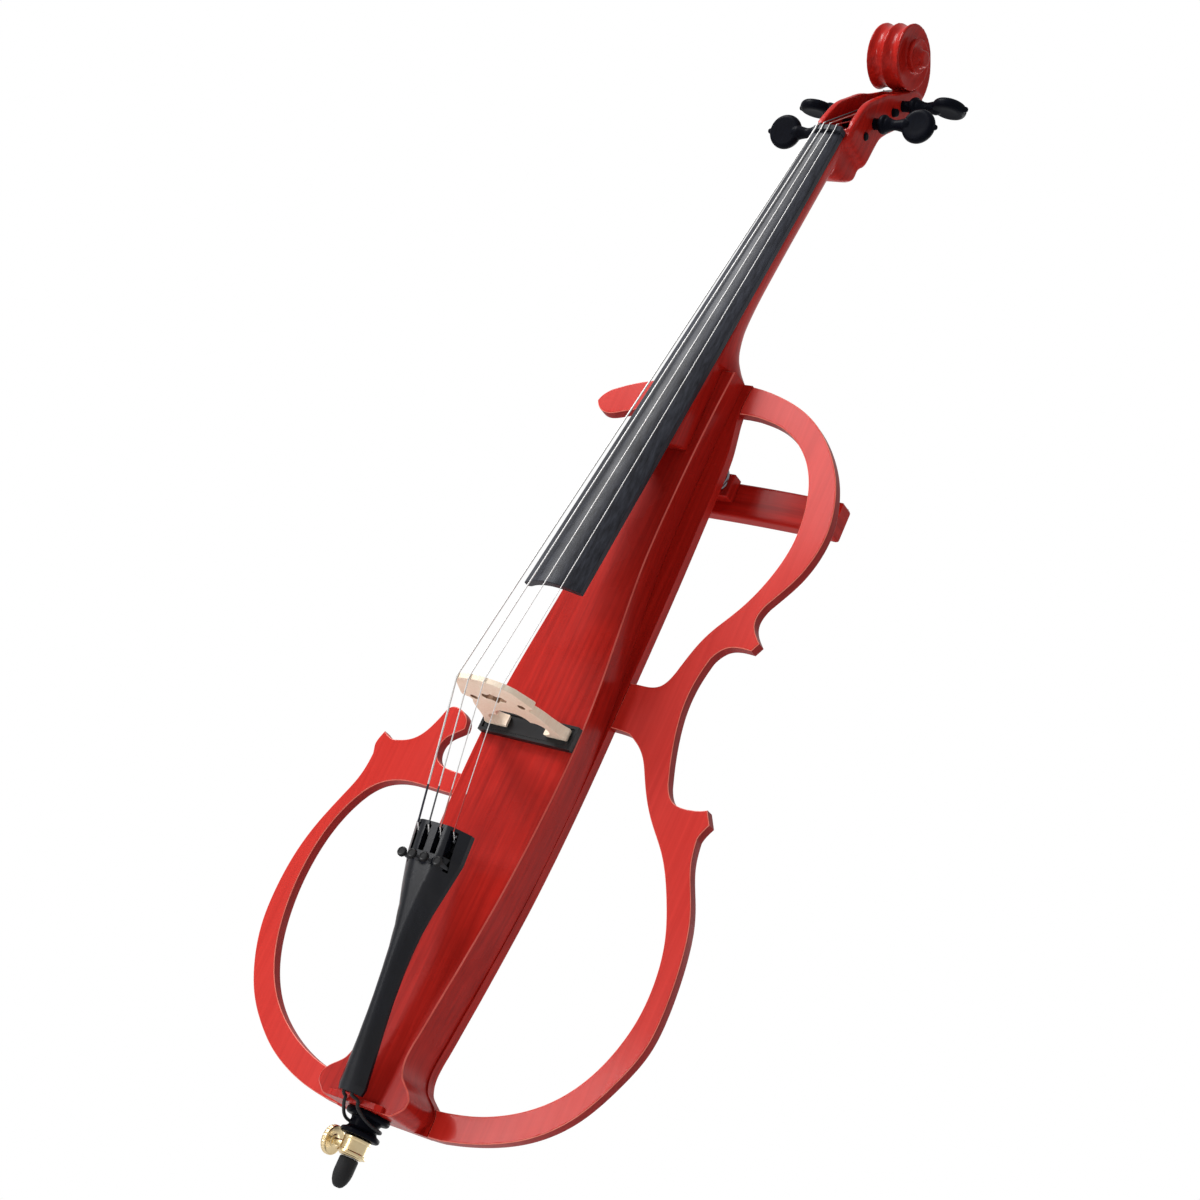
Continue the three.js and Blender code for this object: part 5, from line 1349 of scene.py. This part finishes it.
# Tailpiece: share of its length, half-width, top facet's half-width and depth as shares
TAIL_ROWS = [
    (0, 1.0, 0.55, 1.0), (0.11, 0.955, 0.55, 0.98), (0.24, 0.72, 0.53, 0.85),
    (0.31, 0.575, 0.52, 0.81), (0.39, 0.455, 0.52, 0.76), (0.47, 0.38, 0.52, 0.73),
    (0.55, 0.345, 0.52, 0.70), (0.65, 0.33, 0.52, 0.68), (0.76, 0.36, 0.52, 0.66),
    (0.89, 0.42, 0.52, 0.63), (0.975, 0.465, 0.52, 0.60), (1.0, 0.415, 0.52, 0.56),
]
RIDGE_WIDTH = 5.5
RIDGE_SHARE = 0.9
FRET_WIDTH = 3.6
TUNER_PIVOT = 287.4
BALL_RADIUS = 2.1
BALL_RISE = 6.6
BALL_REACH = 7.1
PEG_THIN = 4.2
PEG_TAPER = 1.6
PEG_HALF = 24
WINDING_STEPS = 48
STRING_SPACINGS = (13, 15.67, 7.33)
SLOPED_LIFT = 1.45
NUT_WIDTH = 6
STRING_SIDES = 14


def tail_section(z):
    """The tailpiece's crown, half-width, top facet's half-width and side slope at a level."""
    share = max(0, min(1, (TAIL_TOP - z) / TAIL_LENGTH))
    places = [row[0] for row in TAIL_ROWS]
    i = max(k for k in range(len(places) - 1) if places[k] <= share)
    part = (share - places[i]) / (places[i + 1] - places[i])
    half, facet, depth = ((1 - part) * a + part * b
                          for a, b in zip(TAIL_ROWS[i][1:], TAIL_ROWS[i + 1][1:]))
    half *= TAIL_HALF
    crown = TAIL_CROWN[0] + (TAIL_CROWN[1] - TAIL_CROWN[0]) * share
    return crown, half, half * facet, TAIL_DEPTH * depth / (half * (1 - facet))


def tail_surface(x, z):
    """Depth of the tailpiece's face under a string."""
    crown, _half, facet, slope = tail_section(z)
    return crown + slope * max(0, abs(x) - facet)


def string_route(tag):
    across, radius, nut_y, bridge_y, pivot_y, start = STRINGS[tag]
    side, depth, height, _turn = PEGS[tag]
    peg_y, peg_z = head_point(depth, height)
    tail_x, bridge_x, nut_x = (across * spacing for spacing in STRING_SPACINGS)
    lift = radius + SEAT
    tail_lift = lift * (SLOPED_LIFT if abs(across) > 1 else 1)
    ball = Vector((tail_x, pivot_y - BALL_RISE, TUNER_PIVOT + BALL_REACH))
    frets = [Vector((tail_x, tail_surface(tail_x, z) - tail_lift, z))
             for z in (TAIL_TOP - FRET_WIDTH, TAIL_TOP)]
    bridge = [Vector((bridge_x, bridge_y, BRIDGE_LEVEL + half))
              for half in (-BRIDGE_TOP_HALF, BRIDGE_TOP_HALF)]
    nut = [Vector((nut_x, nut_y, z)) for z in (NUT_LEVEL, NUT_LEVEL + NUT_WIDTH + radius)]
    coil = PEG_THIN + PEG_TAPER * (start + PEG_HALF) / (2 * PEG_HALF) + lift
    rise, run = peg_z - nut[1].z, peg_y - nut[1].y
    lean = math.atan2(rise, run) + math.asin(coil / math.hypot(run, rise))
    pitch = 2 * radius + 0.5
    winding = []
    for step in range(2 * WINDING_STEPS + 1):
        turns = step / WINDING_STEPS
        angle = lean + math.pi / 2 - turns * 2 * math.pi
        winding.append(Vector((side * (start - turns * pitch), peg_y + coil * math.cos(angle),
                               peg_z + coil * math.sin(angle))))
    return [ball] + frets + bridge + nut + winding


def run_between(route, low, high):
    """The part of a rising route between two levels."""
    result = []
    for here, there in zip(route, route[1:]):
        if there.z <= low or here.z >= high or there.z <= here.z:
            continue
        start = here.lerp(there, max(0, (low - here.z) / (there.z - here.z)))
        stop = here.lerp(there, min(1, (high - here.z) / (there.z - here.z)))
        result += [start] if not result else []
        result.append(stop)
    return result


class CELLO_OT_strings(bpy.types.Operator):
    """Winds the four strings, with silk at both ends and a ball in the tuner's fork"""

    bl_idname = "cello.strings"
    bl_label = "Strings"

    def execute(self, context):
        for tag, (_across, radius, *_rest) in STRINGS.items():
            route = string_route(tag)
            metal = strand(route, radius, STRING_SIDES, "wound_steel")
            silk_top = TAIL_TOP + sizes().silk_length / MM
            silk = strand(run_between(route[:5], TAIL_TOP - FRET_WIDTH, silk_top), radius + 0.12,
                          STRING_SIDES, SILKS[tag])
            upper = strand(run_between(route[5:8], NUT_LEVEL + 9, NUT_LEVEL + HEAD_HEIGHT), radius + 0.06,
                           STRING_SIDES, SILKS[tag])
            arc = [math.radians(turn) for turn in range(-75, 90, 15)]
            ball = turned([(0, -BALL_RADIUS)]
                          + [(BALL_RADIUS * math.cos(t), BALL_RADIUS * math.sin(t)) for t in arc]
                          + [(0, BALL_RADIUS)], 24)
            ball = stood(ball, SIDEWAYS, route[0])
            ball.materials.append(finish("black_steel"))
            place(f"wound_string_{tag}", joined(metal, silk, upper, ball), f"string_{tag}")
        return {"FINISHED"}


class CELLO_OT_tailpiece(bpy.types.Operator):
    """Makes the tailpiece with its fret and slots"""

    bl_idname = "cello.tailpiece"
    bl_label = "Tailpiece"

    def execute(self, context):
        def sliced(shape):
            planes = [((across * side, 0, 0), SIDEWAYS) for side in (-1, 1)
                      for across in [1.0 + 1.3 * i for i in range(19)]]
            planes += [((0, 0, TAIL_TOP - TAIL_LENGTH * i / 32), UPWARDS) for i in range(1, 32)]
            for place_on, facing in planes:
                everything = shape.verts[:] + shape.edges[:] + shape.faces[:]
                bmesh.ops.bisect_plane(shape, geom=everything, plane_co=place_on, plane_no=facing)

        def rounded(co):
            _crown, half, facet, slope = tail_section(co.z)
            width = min(RIDGE_WIDTH, RIDGE_SHARE * facet, RIDGE_SHARE * (half - facet))
            beyond = abs(co.x) - facet
            if abs(beyond) > width or co.y > tail_surface(co.x, co.z) + 0.9:
                return co
            bent = slope * ((beyond + width) ** 2 / (4 * width) - max(0, beyond))
            return Vector((co.x, co.y + bent, co.z))
        tail = moved(reworked(eased_copy("tailpiece", 0.6), sliced), rounded)
        place("black_tailpiece", tail, "tailpiece", look="satin_tailpiece")
        return {"FINISHED"}


class CELLO_OT_fine_tuners(bpy.types.Operator):
    """Makes the four fine tuners: lever, threaded screw and knurled knob"""

    bl_idname = "cello.fine_tuners"
    bl_label = "Fine tuners"

    def execute(self, context):
        for tag in STRINGS:
            place(f"tuner_rocker_{tag}", eased_copy(f"tuner_lever_{tag}", 0.3, 2), f"tuner_lever_{tag}",
                  look="black_steel")
            low, high = box_of(f"tuner_screw_{tag}")
            centre = axis_of(f"tuner_screw_{tag}")
            rows = filled(eased(rod_rows(2, low.y, high.y), 0.5, 2), 0.12)
            screw = threaded(turned(rows, 20), sizes().thread_pitch / MM, 0.28, 1.9, low.y + 2,
                             high.y - 0.8, "black_steel")
            place(f"tuner_thread_{tag}", stood(screw, BACKWARDS, centre), f"tuner_screw_{tag}")
            low, high = box_of(f"tuner_knob_{tag}")
            floor = low.y + (high.y - low.y) / 3
            rows = [(0, low.y + 0.7), (2.6, low.y + 0.5), (3.4, low.y), (4.5, low.y + 0.9),
                    (4.5, high.y - 1.2), (3.3, high.y - 0.7), (3.0, high.y), (2.3, high.y), (2.3, floor),
                    (0, floor)]
            knob = fluted(turned(filled(eased(rows, 0.4, 3), 0.4), 72), 18, 0.45, 4.0, low.y + 0.5,
                          high.y - 0.9, "black_plastic")
            place(f"tuner_cap_{tag}", stood(knob, BACKWARDS, centre), f"tuner_knob_{tag}")
        return {"FINISHED"}


CORD_RADIUS = 1.5
CORD_LEG = [
    (4.4, -40.2, 86), (4.4, -40.2, 71.6), (5.2, -37.6, 70.3), (6.3, -34.2, 69.8), (7, -31.4, 68.6),
    (7.3, -30.5, 65.9), (8, -28.3, 63.4), (9.4, -24.4, 61.0), (11.6, -18.6, 58.0), (13.9, -11.2, 55.9),
    (14.9, -5.4, 55.1),
]
CORD_LEVEL = 54.9
CORD_REACH = 13 + CORD_RADIUS + 2 * SEAT
CORD_LOOP_STEPS = 14


class CELLO_OT_tail_cord(bpy.types.Operator):
    """Lays the tail cord over the saddle and round the endpin's plug"""

    bl_idname = "cello.tail_cord"
    bl_label = "Tail cord"

    def execute(self, context):
        loop = [(CORD_REACH * math.cos(turn), CORD_REACH * math.sin(turn), CORD_LEVEL)
                for turn in [math.pi * i / CORD_LOOP_STEPS for i in range(CORD_LOOP_STEPS + 1)]]
        left = [(-x, y, z) for x, y, z in reversed(CORD_LEG)]
        cord = strand(smooth_route(CORD_LEG + loop + left, 3), CORD_RADIUS, 18, "black_cord")
        place("braided_tail_cord", cord, "tail_cord")
        return {"FINISHED"}


# Pegs: profiles as radius and place, the shaft and button across the box and the disc through its middle
PEG_SHAFT_ROWS = [
    (0, -24), (4.2, -24), (5.8, 24), (6.2, 26.2), (6.8, 27), (9.4, 29.4), (10, 31.6), (10, 33.4),
    (9.2, 34.6), (7.4, 35.2), (7.8, 36.6), (7.2, 38.2), (5.6, 42), (5.2, 46), (6.2, 51), (7.4, 56),
    (6.0, 62), (0, 62),
]
PEG_DISC_ROWS = [
    (0, -5.0), (7, -5.1), (11.5, -5.4), (14.2, -5.3), (16.2, -4.4), (17.5, -2.4), (18, 0), (17.5, 2.4),
    (16.2, 4.4), (14.2, 5.3), (11.5, 5.4), (7, 5.1), (0, 5.0),
]
PEG_BUTTON_ROWS = [(0, 86), (2.6, 86), (3, 88.2), (2.8, 90.4), (1.9, 91.6), (0, 92)]
PEG_DISC_PLACE = 71
PEG_GRID = 0.55


class CELLO_OT_pegs(bpy.types.Operator):
    """Turns the four pegs and carves their dished heads"""

    bl_idname = "cello.pegs"
    bl_label = "Pegs"

    def execute(self, context):
        for tag, (side, depth, height, turn) in PEGS.items():
            y, z = head_point(depth, height)
            shaft = stood(turned(eased(PEG_SHAFT_ROWS, 1.2, 3), 48), SIDEWAYS, (0, 0, 0))
            disc = stood(turned(eased(PEG_DISC_ROWS, 1.5, 3)), BACKWARDS, (PEG_DISC_PLACE, 0, 0))
            button = stood(turned(eased(PEG_BUTTON_ROWS, 0.8, 3), 32), SIDEWAYS, (0, 0, 0))
            peg = regridded(joined(shaft, disc, button), PEG_GRID)
            peg = altered(peg, "SMOOTH", factor=0.5, iterations=2)
            turned_by = Matrix.Rotation(math.radians(turn), 4, "X")
            peg.transform(Matrix.Translation((0, y, z)) @ Matrix.Scale(side, 4, SIDEWAYS) @ turned_by)
            place(f"turned_peg_{tag}", welded(peg, WELD / 4), f"peg_{tag}")
        return {"FINISHED"}


# Endpin: profiles as radius and level
PLUG_ROWS = [
    (5.3, 44.4), (16.6, 44.4), (18, 46.2), (17.6, 48.6), (14.4, 50), (13, 51.6), (13, 58.4), (14.2, 60.2),
    (18.6, 60.6), (20, 62.6), (19.6, 66.1), (11, 66.1), (11, 96.4), (5.3, 96.4), (5.3, 44.4),
]
COLLAR_ROWS = [
    (5.3, 26.7), (9.8, 26.7), (10.6, 27.6), (12.6, 27.9), (13, 28.6), (13, 30.4), (12.4, 31), (11.8, 31.4),
    (11.8, 40.4), (12.3, 41), (12.3, 43), (11.4, 44.1), (5.3, 44.1), (5.3, 26.7),
]
THUMBSCREW_ROWS = [
    (0, 5.3), (3, 5.3), (3, 21.0), (5.4, 21.4), (5.6, 22), (12.2, 22), (13, 22.8), (13, 26.2), (12.2, 27),
    (8.4, 27), (7.4, 26.4), (0, 26.2),
]
TIP_ROWS = [
    (0, 0), (2.5, 0), (4.8, 1.6), (6.9, 5.2), (8.1, 9.4), (8.5, 13), (8.5, 24.8), (7.9, 26), (5.3, 26),
    (5.3, 9.7), (0, 9.7),
]
THUMBSCREW_PLACE = (0, 0, 35.4)


class CELLO_OT_endpin(bpy.types.Operator):
    """Turns the endpin: plug, brass clamp and screw, rod and rubber tip"""

    bl_idname = "cello.endpin"
    bl_label = "Endpin"

    def execute(self, context):
        place("endpin_socket", turned(filled(eased(PLUG_ROWS, 1.0, 3), 2.0), 96), "endpin_plug")
        collar = turned(filled(eased(COLLAR_ROWS, 0.4, 3), 1.2), 144)
        bore = stood(rod(3.3, 0, 18, 32), (-1, 0, 0), THUMBSCREW_PLACE)
        place("brass_collar", cut(collar, bore), "endpin_collar")
        screw = turned(filled(eased(THUMBSCREW_ROWS, 0.5, 3), 0.7), 144)
        screw = fluted(screw, 30, 0.55, 11.5, 22.4, 26.6, "pale_brass")
        place("brass_thumbscrew", stood(screw, (-1, 0, 0), THUMBSCREW_PLACE), "endpin_thumbscrew")
        low, high = box_of("endpin_rod")
        place("steel_rod", turned(eased(rod_rows(5, low.z, high.z), 1.0), 48), "endpin_rod")
        place("rubber_tip", turned(eased(TIP_ROWS, 0.9, 3)), "endpin_tip")
        return {"FINISHED"}


class CELLO_OT_chest_rest(bpy.types.Operator):
    """Makes the chest rest with its swivel, bolt and clamp knob"""

    bl_idname = "cello.chest_rest"
    bl_label = "Chest rest"

    def execute(self, context):
        low, high = box_of("chest_rest")
        bar = slab([refined(outlines("chest_rest", UPWARDS, 2)[0], 6)], "Z", low.z, high.z,
                   sizes().rest_edge / MM)
        bar = cut(bar, stood(rod(SWIVEL_BORE, 20, 100, 32), BACKWARDS, SWIVEL_PLACE))
        place("bowed_chest_rest", bar, "chest_rest", look="crosswise_varnish")
        place("swivel_wedge", eased_copy("rest_wedge", 1.2), "rest_wedge")
        low, high = box_of("rest_bracket")
        rows = [(SWIVEL_BORE, low.y), (14.2, low.y), (15, low.y + 0.8), (15, low.y + 2.4),
                (14.2, low.y + 3), (8, low.y + 3), (8, high.y), (SWIVEL_BORE, high.y), (SWIVEL_BORE, low.y)]
        bracket = threaded(turned(filled(rows, 0.25)), 1.75, 0.7, 7.5, low.y + 3.2, high.y - 0.3,
                           "dark_steel")
        place("threaded_swivel", stood(bracket, BACKWARDS, SWIVEL_PLACE), "rest_bracket")
        low, high = box_of("rest_bolt")
        rows = filled(eased(rod_rows(4, low.y + BORE_SKIN, high.y), 0.6, 2), 0.35)
        bolt = threaded(turned(rows, 32), 1.4, 0.35, 3.8, low.y + 40, high.y - 0.5, "dark_steel")
        place("clamp_bolt", stood(bolt, BACKWARDS, SWIVEL_PLACE), "rest_bolt")
        low, high = box_of("rest_knob")
        floor = low.y + 6.8
        rows = eased([(SWIVEL_BORE, low.y), (8, low.y), (9, low.y + 1), (14.2, low.y + 2),
                      (15, low.y + 3.2), (15, high.y - 3), (13.6, high.y - 1.2), (9, high.y), (0, high.y),
                      (0, floor), (SWIVEL_BORE, floor), (SWIVEL_BORE, low.y)], 0.8, 3)
        body = turned(filled(rows[:-1], 1.0) + rows[-1:], 96)
        knob = fluted(body, 6, 2.6, 9.5, low.y + 1.2, high.y - 0.2, "black_plastic")
        place("lobed_clamp_knob", stood(knob, BACKWARDS, SWIVEL_PLACE), "rest_knob")
        return {"FINISHED"}


RECESS_SIZE = (1.5, 0.32)
RECESS_DEPTH = 1.1


def cross_screw(centre):
    """A pan-head screw with a cross recess."""
    low, high = box_of("plate_screw_upper_left")
    rows = [(0, low.y), (1.5, low.y + 1.5), (1.5, PANEL_FRONT), (3, PANEL_FRONT), (3, PANEL_FRONT + 0.5),
            (2.4, high.y - 0.2), (1.2, high.y), (0, high.y)]
    head = threaded(turned(filled(eased(rows, 0.3, 2), 0.4), 36), 1.1, 0.35, 1.4, low.y, PANEL_FRONT - 0.5,
                    "bright_steel")
    bars = [block(-wide, wide, -tall, tall, "Z", high.y - RECESS_DEPTH, high.y + 1)
            for wide, tall in (RECESS_SIZE, RECESS_SIZE[::-1])]
    return stood(cut(head, *bars), BACKWARDS, centre)


RIB_COUNT = 5
RIB_PITCH = 2.2


class CELLO_OT_control_plate(bpy.types.Operator):
    """Makes the control plate, its battery door and the four screws"""

    bl_idname = "cello.control_plate"
    bl_label = "Control plate"

    def execute(self, context):
        for node in ("control_plate", "battery_door"):
            low, high = box_of(node)
            plate = slab([refined(loop) for loop in outlines(node, BACKWARDS, 1)], "Y", low.y, high.y, 0.5)
            if node == "battery_door":
                levels = [high.z - 5 - i * RIB_PITCH for i in range(RIB_COUNT)]
                plate = cut(plate, *[block(-7, 7, z, z + 1, "Y", high.y - 0.6, high.y + 1) for z in levels])
            place(f"moulded_{node}", plate, node)
        for node in [name for name in frame["nodes"] if name.startswith("plate_screw")]:
            place(node.replace("plate_screw", "cross_screw"), cross_screw(axis_of(node)), node)
        return {"FINISHED"}


class CELLO_OT_controls(bpy.types.Operator):
    """Makes the volume and tone knobs and the two jacks"""

    bl_idname = "cello.controls"
    bl_label = "Knobs and jacks"

    def execute(self, context):
        for node in ("volume_knob", "tone_knob"):
            low, high = box_of(node)
            rows = [(0, low.y), (3, low.y), (3, PANEL_FRONT), (7.6, PANEL_FRONT), (8, PANEL_FRONT + 0.7),
                    (7.2, high.y - 1.6), (6.4, high.y - 0.3), (5.6, high.y), (4.8, high.y - 0.5),
                    (0, high.y - 0.5)]
            knob = turned(filled(eased(rows, 0.5, 3), 0.9), 144)
            knob = fluted(knob, sizes().knob_flutes, 0.55, 6.6, 34.2, high.y - 1.2, "black_plastic")
            knob = cut(knob, block(-0.4, 0.4, 3.0, 7.6, "Z", high.y - 1.1, high.y + 1))
            place(node.replace("_knob", "_control_knob"), stood(knob, BACKWARDS, axis_of(node)), node)
        for node, bore in (("headphone_jack", 1.9), ("output_jack", 3.3)):
            low, high = box_of(node)
            floor = low.y + 2
            rows = [(0, low.y), (5.7, low.y), (5.7, PANEL_FRONT), (8, PANEL_FRONT), (8, high.y - 0.7),
                    (7.4, high.y - 0.2), (bore + 1.6, high.y - 0.2), (bore + 1.1, high.y),
                    (bore + 0.3, high.y), (bore, high.y - 0.5), (bore, floor), (0, floor)]
            jack = turned(filled(eased(rows, 0.25, 2), 1.0), 96)
            jack = fluted(jack, 6, 0.7, 7.0, 33.0, high.y - 0.1, "chromed_jack")
            place(node.replace("_jack", "_socket"), stood(jack, BACKWARDS, axis_of(node)), node)
        return {"FINISHED"}


class CELLO_OT_electronics(bpy.types.Operator):
    """Makes the circuit board and the battery behind the control plate"""

    bl_idname = "cello.electronics"
    bl_label = "Circuit and battery"

    def execute(self, context):
        circuit = eased_copy("preamp_board", 0.25, 2)
        low, high = box_of("preamp_board")
        circuit = grown(circuit, "row", Count=9, First=(-6.0, 22.2, low.z + 1.6), Step=(1.5, 0.0, 0.0),
                        Radius=0.5, Height=0.8, Material=finish("green_circuit"))
        place("circuit_board", circuit, "preamp_board")
        place("battery_block", eased_copy("battery", 1.2), "battery")
        return {"FINISHED"}


# Camera, lamps and ground
CAMERA_PLACE = (1.2708, -1.7112, -0.1442)
CAMERA_TURN = (110.164, -22.919, 28.481)
CAMERA_LENS = 73.906
SENSOR_WIDTH = 36.0
AIM = (0.0, 0.0, 0.6)
GROUND_LEVEL = -0.34
GROUND_HALF = 7.0
GROUND_SHADOW = 0.9
GROUND_GREYS = (0.80, 0.84)
WHITE = (1.0, 1.0, 1.0, 1.0)
AMBIENT = 0.42
MIRRORED_SKY = 0.4
LAMPS = [
    ("left window light", (-2.1, -1.89, 3.14), 1.3, 128.0),
    ("low front card", (-1.50, -2.565, 0.42), 0.5, 15.0),
    ("small front card", (-1.455, -2.565, 2.20), 0.6, 14.0),
    ("back light", (0.3, 3.4, 0.9), 2.0, 50.0),
]


def ground_material():
    material = bpy.data.materials.new("pale ground")
    tree = emptied(material)
    place_on = lay(tree, "ShaderNodeTexCoord").outputs["Object"]
    mottle = lay(tree, "ShaderNodeTexNoise", {"Vector": place_on, "Scale": 5.0, "Detail": 4.0}).outputs[0]
    dark, pale = ((grey, grey, grey, 1.0) for grey in GROUND_GREYS)
    tint = lay(tree, "ShaderNodeMix", {"Factor": mottle, 6: dark, 7: pale}, data_type="RGBA").outputs[2]
    surface = lay(tree, "ShaderNodeBsdfPrincipled", {"Base Color": tint, "Roughness": 0.9})
    white = lay(tree, "ShaderNodeEmission", {"Color": WHITE, "Strength": 1.0})
    away = lay(tree, "ShaderNodeVectorMath", {0: place_on}, operation="LENGTH").outputs["Value"]
    fade = lay(tree, "ShaderNodeMapRange", {
        "Value": away, "From Min": GROUND_SHADOW, "From Max": 3 * GROUND_SHADOW}).outputs[0]
    seen = lay(tree, "ShaderNodeLightPath").outputs["Is Camera Ray"]
    blend = lay(tree, "ShaderNodeMixShader", {
        0: sum_up(tree, "MULTIPLY", fade, seen), 1: surface.outputs[0], 2: white.outputs[0]})
    lay(tree, "ShaderNodeOutputMaterial", {"Surface": blend.outputs[0]})
    return material


class CELLO_OT_stage(bpy.types.Operator):
    """Sets up the ground, the lamps, the sky and the camera"""

    bl_idname = "cello.stage"
    bl_label = "Stage"

    def execute(self, context):
        scene = context.scene
        camera = linked("camera", bpy.data.cameras.new("camera"))
        camera.data.lens = CAMERA_LENS
        camera.data.sensor_width = SENSOR_WIDTH
        camera.location = CAMERA_PLACE
        camera.rotation_euler = [math.radians(turn) for turn in CAMERA_TURN]
        scene.camera = camera
        scene.view_settings.view_transform = "Standard"
        for name, spot, width, power in LAMPS:
            lamp = bpy.data.lights.new(name, "AREA")
            lamp.shape = "SQUARE"
            lamp.size = width
            lamp.energy = power
            holder = linked(name, lamp)
            holder.location = spot
            holder.rotation_euler = (Vector(AIM) - Vector(spot)).to_track_quat("-Z", "Y").to_euler()
        world = bpy.data.worlds.new("studio sky")
        scene.world = world
        tree = emptied(world)
        rays = lay(tree, "ShaderNodeLightPath").outputs
        mirrored = sum_up(tree, "MULTIPLY", rays["Is Glossy Ray"], MIRRORED_SKY)
        seen = sum_up(tree, "MAXIMUM", rays["Is Camera Ray"], mirrored)
        seen = sum_up(tree, "MAXIMUM", seen, rays["Is Transmission Ray"])
        strength = sum_up(tree, "MULTIPLY_ADD", seen, 1.0 - AMBIENT, AMBIENT)
        sky = lay(tree, "ShaderNodeBackground", {"Color": WHITE, "Strength": strength})
        lay(tree, "ShaderNodeOutputWorld", {"Surface": sky.outputs[0]})
        ground = bpy.data.meshes.new("ground")
        signs = ((-1, -1), (1, -1), (1, 1), (-1, 1))
        ground.from_pydata([(GROUND_HALF * x, GROUND_HALF * y, 0) for x, y in signs], [], [(0, 1, 2, 3)])
        ground.materials.append(ground_material())
        floor = linked("ground", ground)
        floor.location.z = GROUND_LEVEL
        return {"FINISHED"}


MAKERS = (
    CELLO_OT_stage, CELLO_OT_tail_cord, CELLO_OT_centre_body, CELLO_OT_back_board, CELLO_OT_side_frames,
    CELLO_OT_neck, CELLO_OT_fingerboard, CELLO_OT_nut_and_saddle, CELLO_OT_bridge, CELLO_OT_pickup,
    CELLO_OT_strings, CELLO_OT_tailpiece, CELLO_OT_fine_tuners, CELLO_OT_pegs, CELLO_OT_endpin,
    CELLO_OT_chest_rest, CELLO_OT_control_plate, CELLO_OT_controls, CELLO_OT_electronics,
)


class CELLO_PT_pieces(bpy.types.Panel):
    """Lists what the cello is made of"""

    bl_idname = "CELLO_PT_pieces"
    bl_label = "Electric cello"
    bl_space_type = "VIEW_3D"
    bl_region_type = "UI"
    bl_category = "Cello"

    def draw(self, context):
        for group in (context.scene.cello_sizes, context.scene.cello_colours):
            for label in group.bl_rna.properties.keys():
                if label not in ("rna_type", "name"):
                    self.layout.prop(group, label)
        for maker in MAKERS:
            self.layout.operator(maker.bl_idname)


CLASSES = (CelloSizes, CelloColours, *MAKERS, CELLO_PT_pieces)


def register():
    for part in CLASSES:
        bpy.utils.register_class(part)
    bpy.types.Scene.cello_sizes = PointerProperty(type=CelloSizes)
    bpy.types.Scene.cello_colours = PointerProperty(type=CelloColours)


def unregister():
    del bpy.types.Scene.cello_colours
    del bpy.types.Scene.cello_sizes
    for part in reversed(CLASSES):
        bpy.utils.unregister_class(part)


def main():
    register()
    for maker in MAKERS:
        group, name = maker.bl_idname.split(".")
        getattr(getattr(bpy.ops, group), name)()
    bpy.context.view_layer.update()


if __name__ == "__main__":
    main()
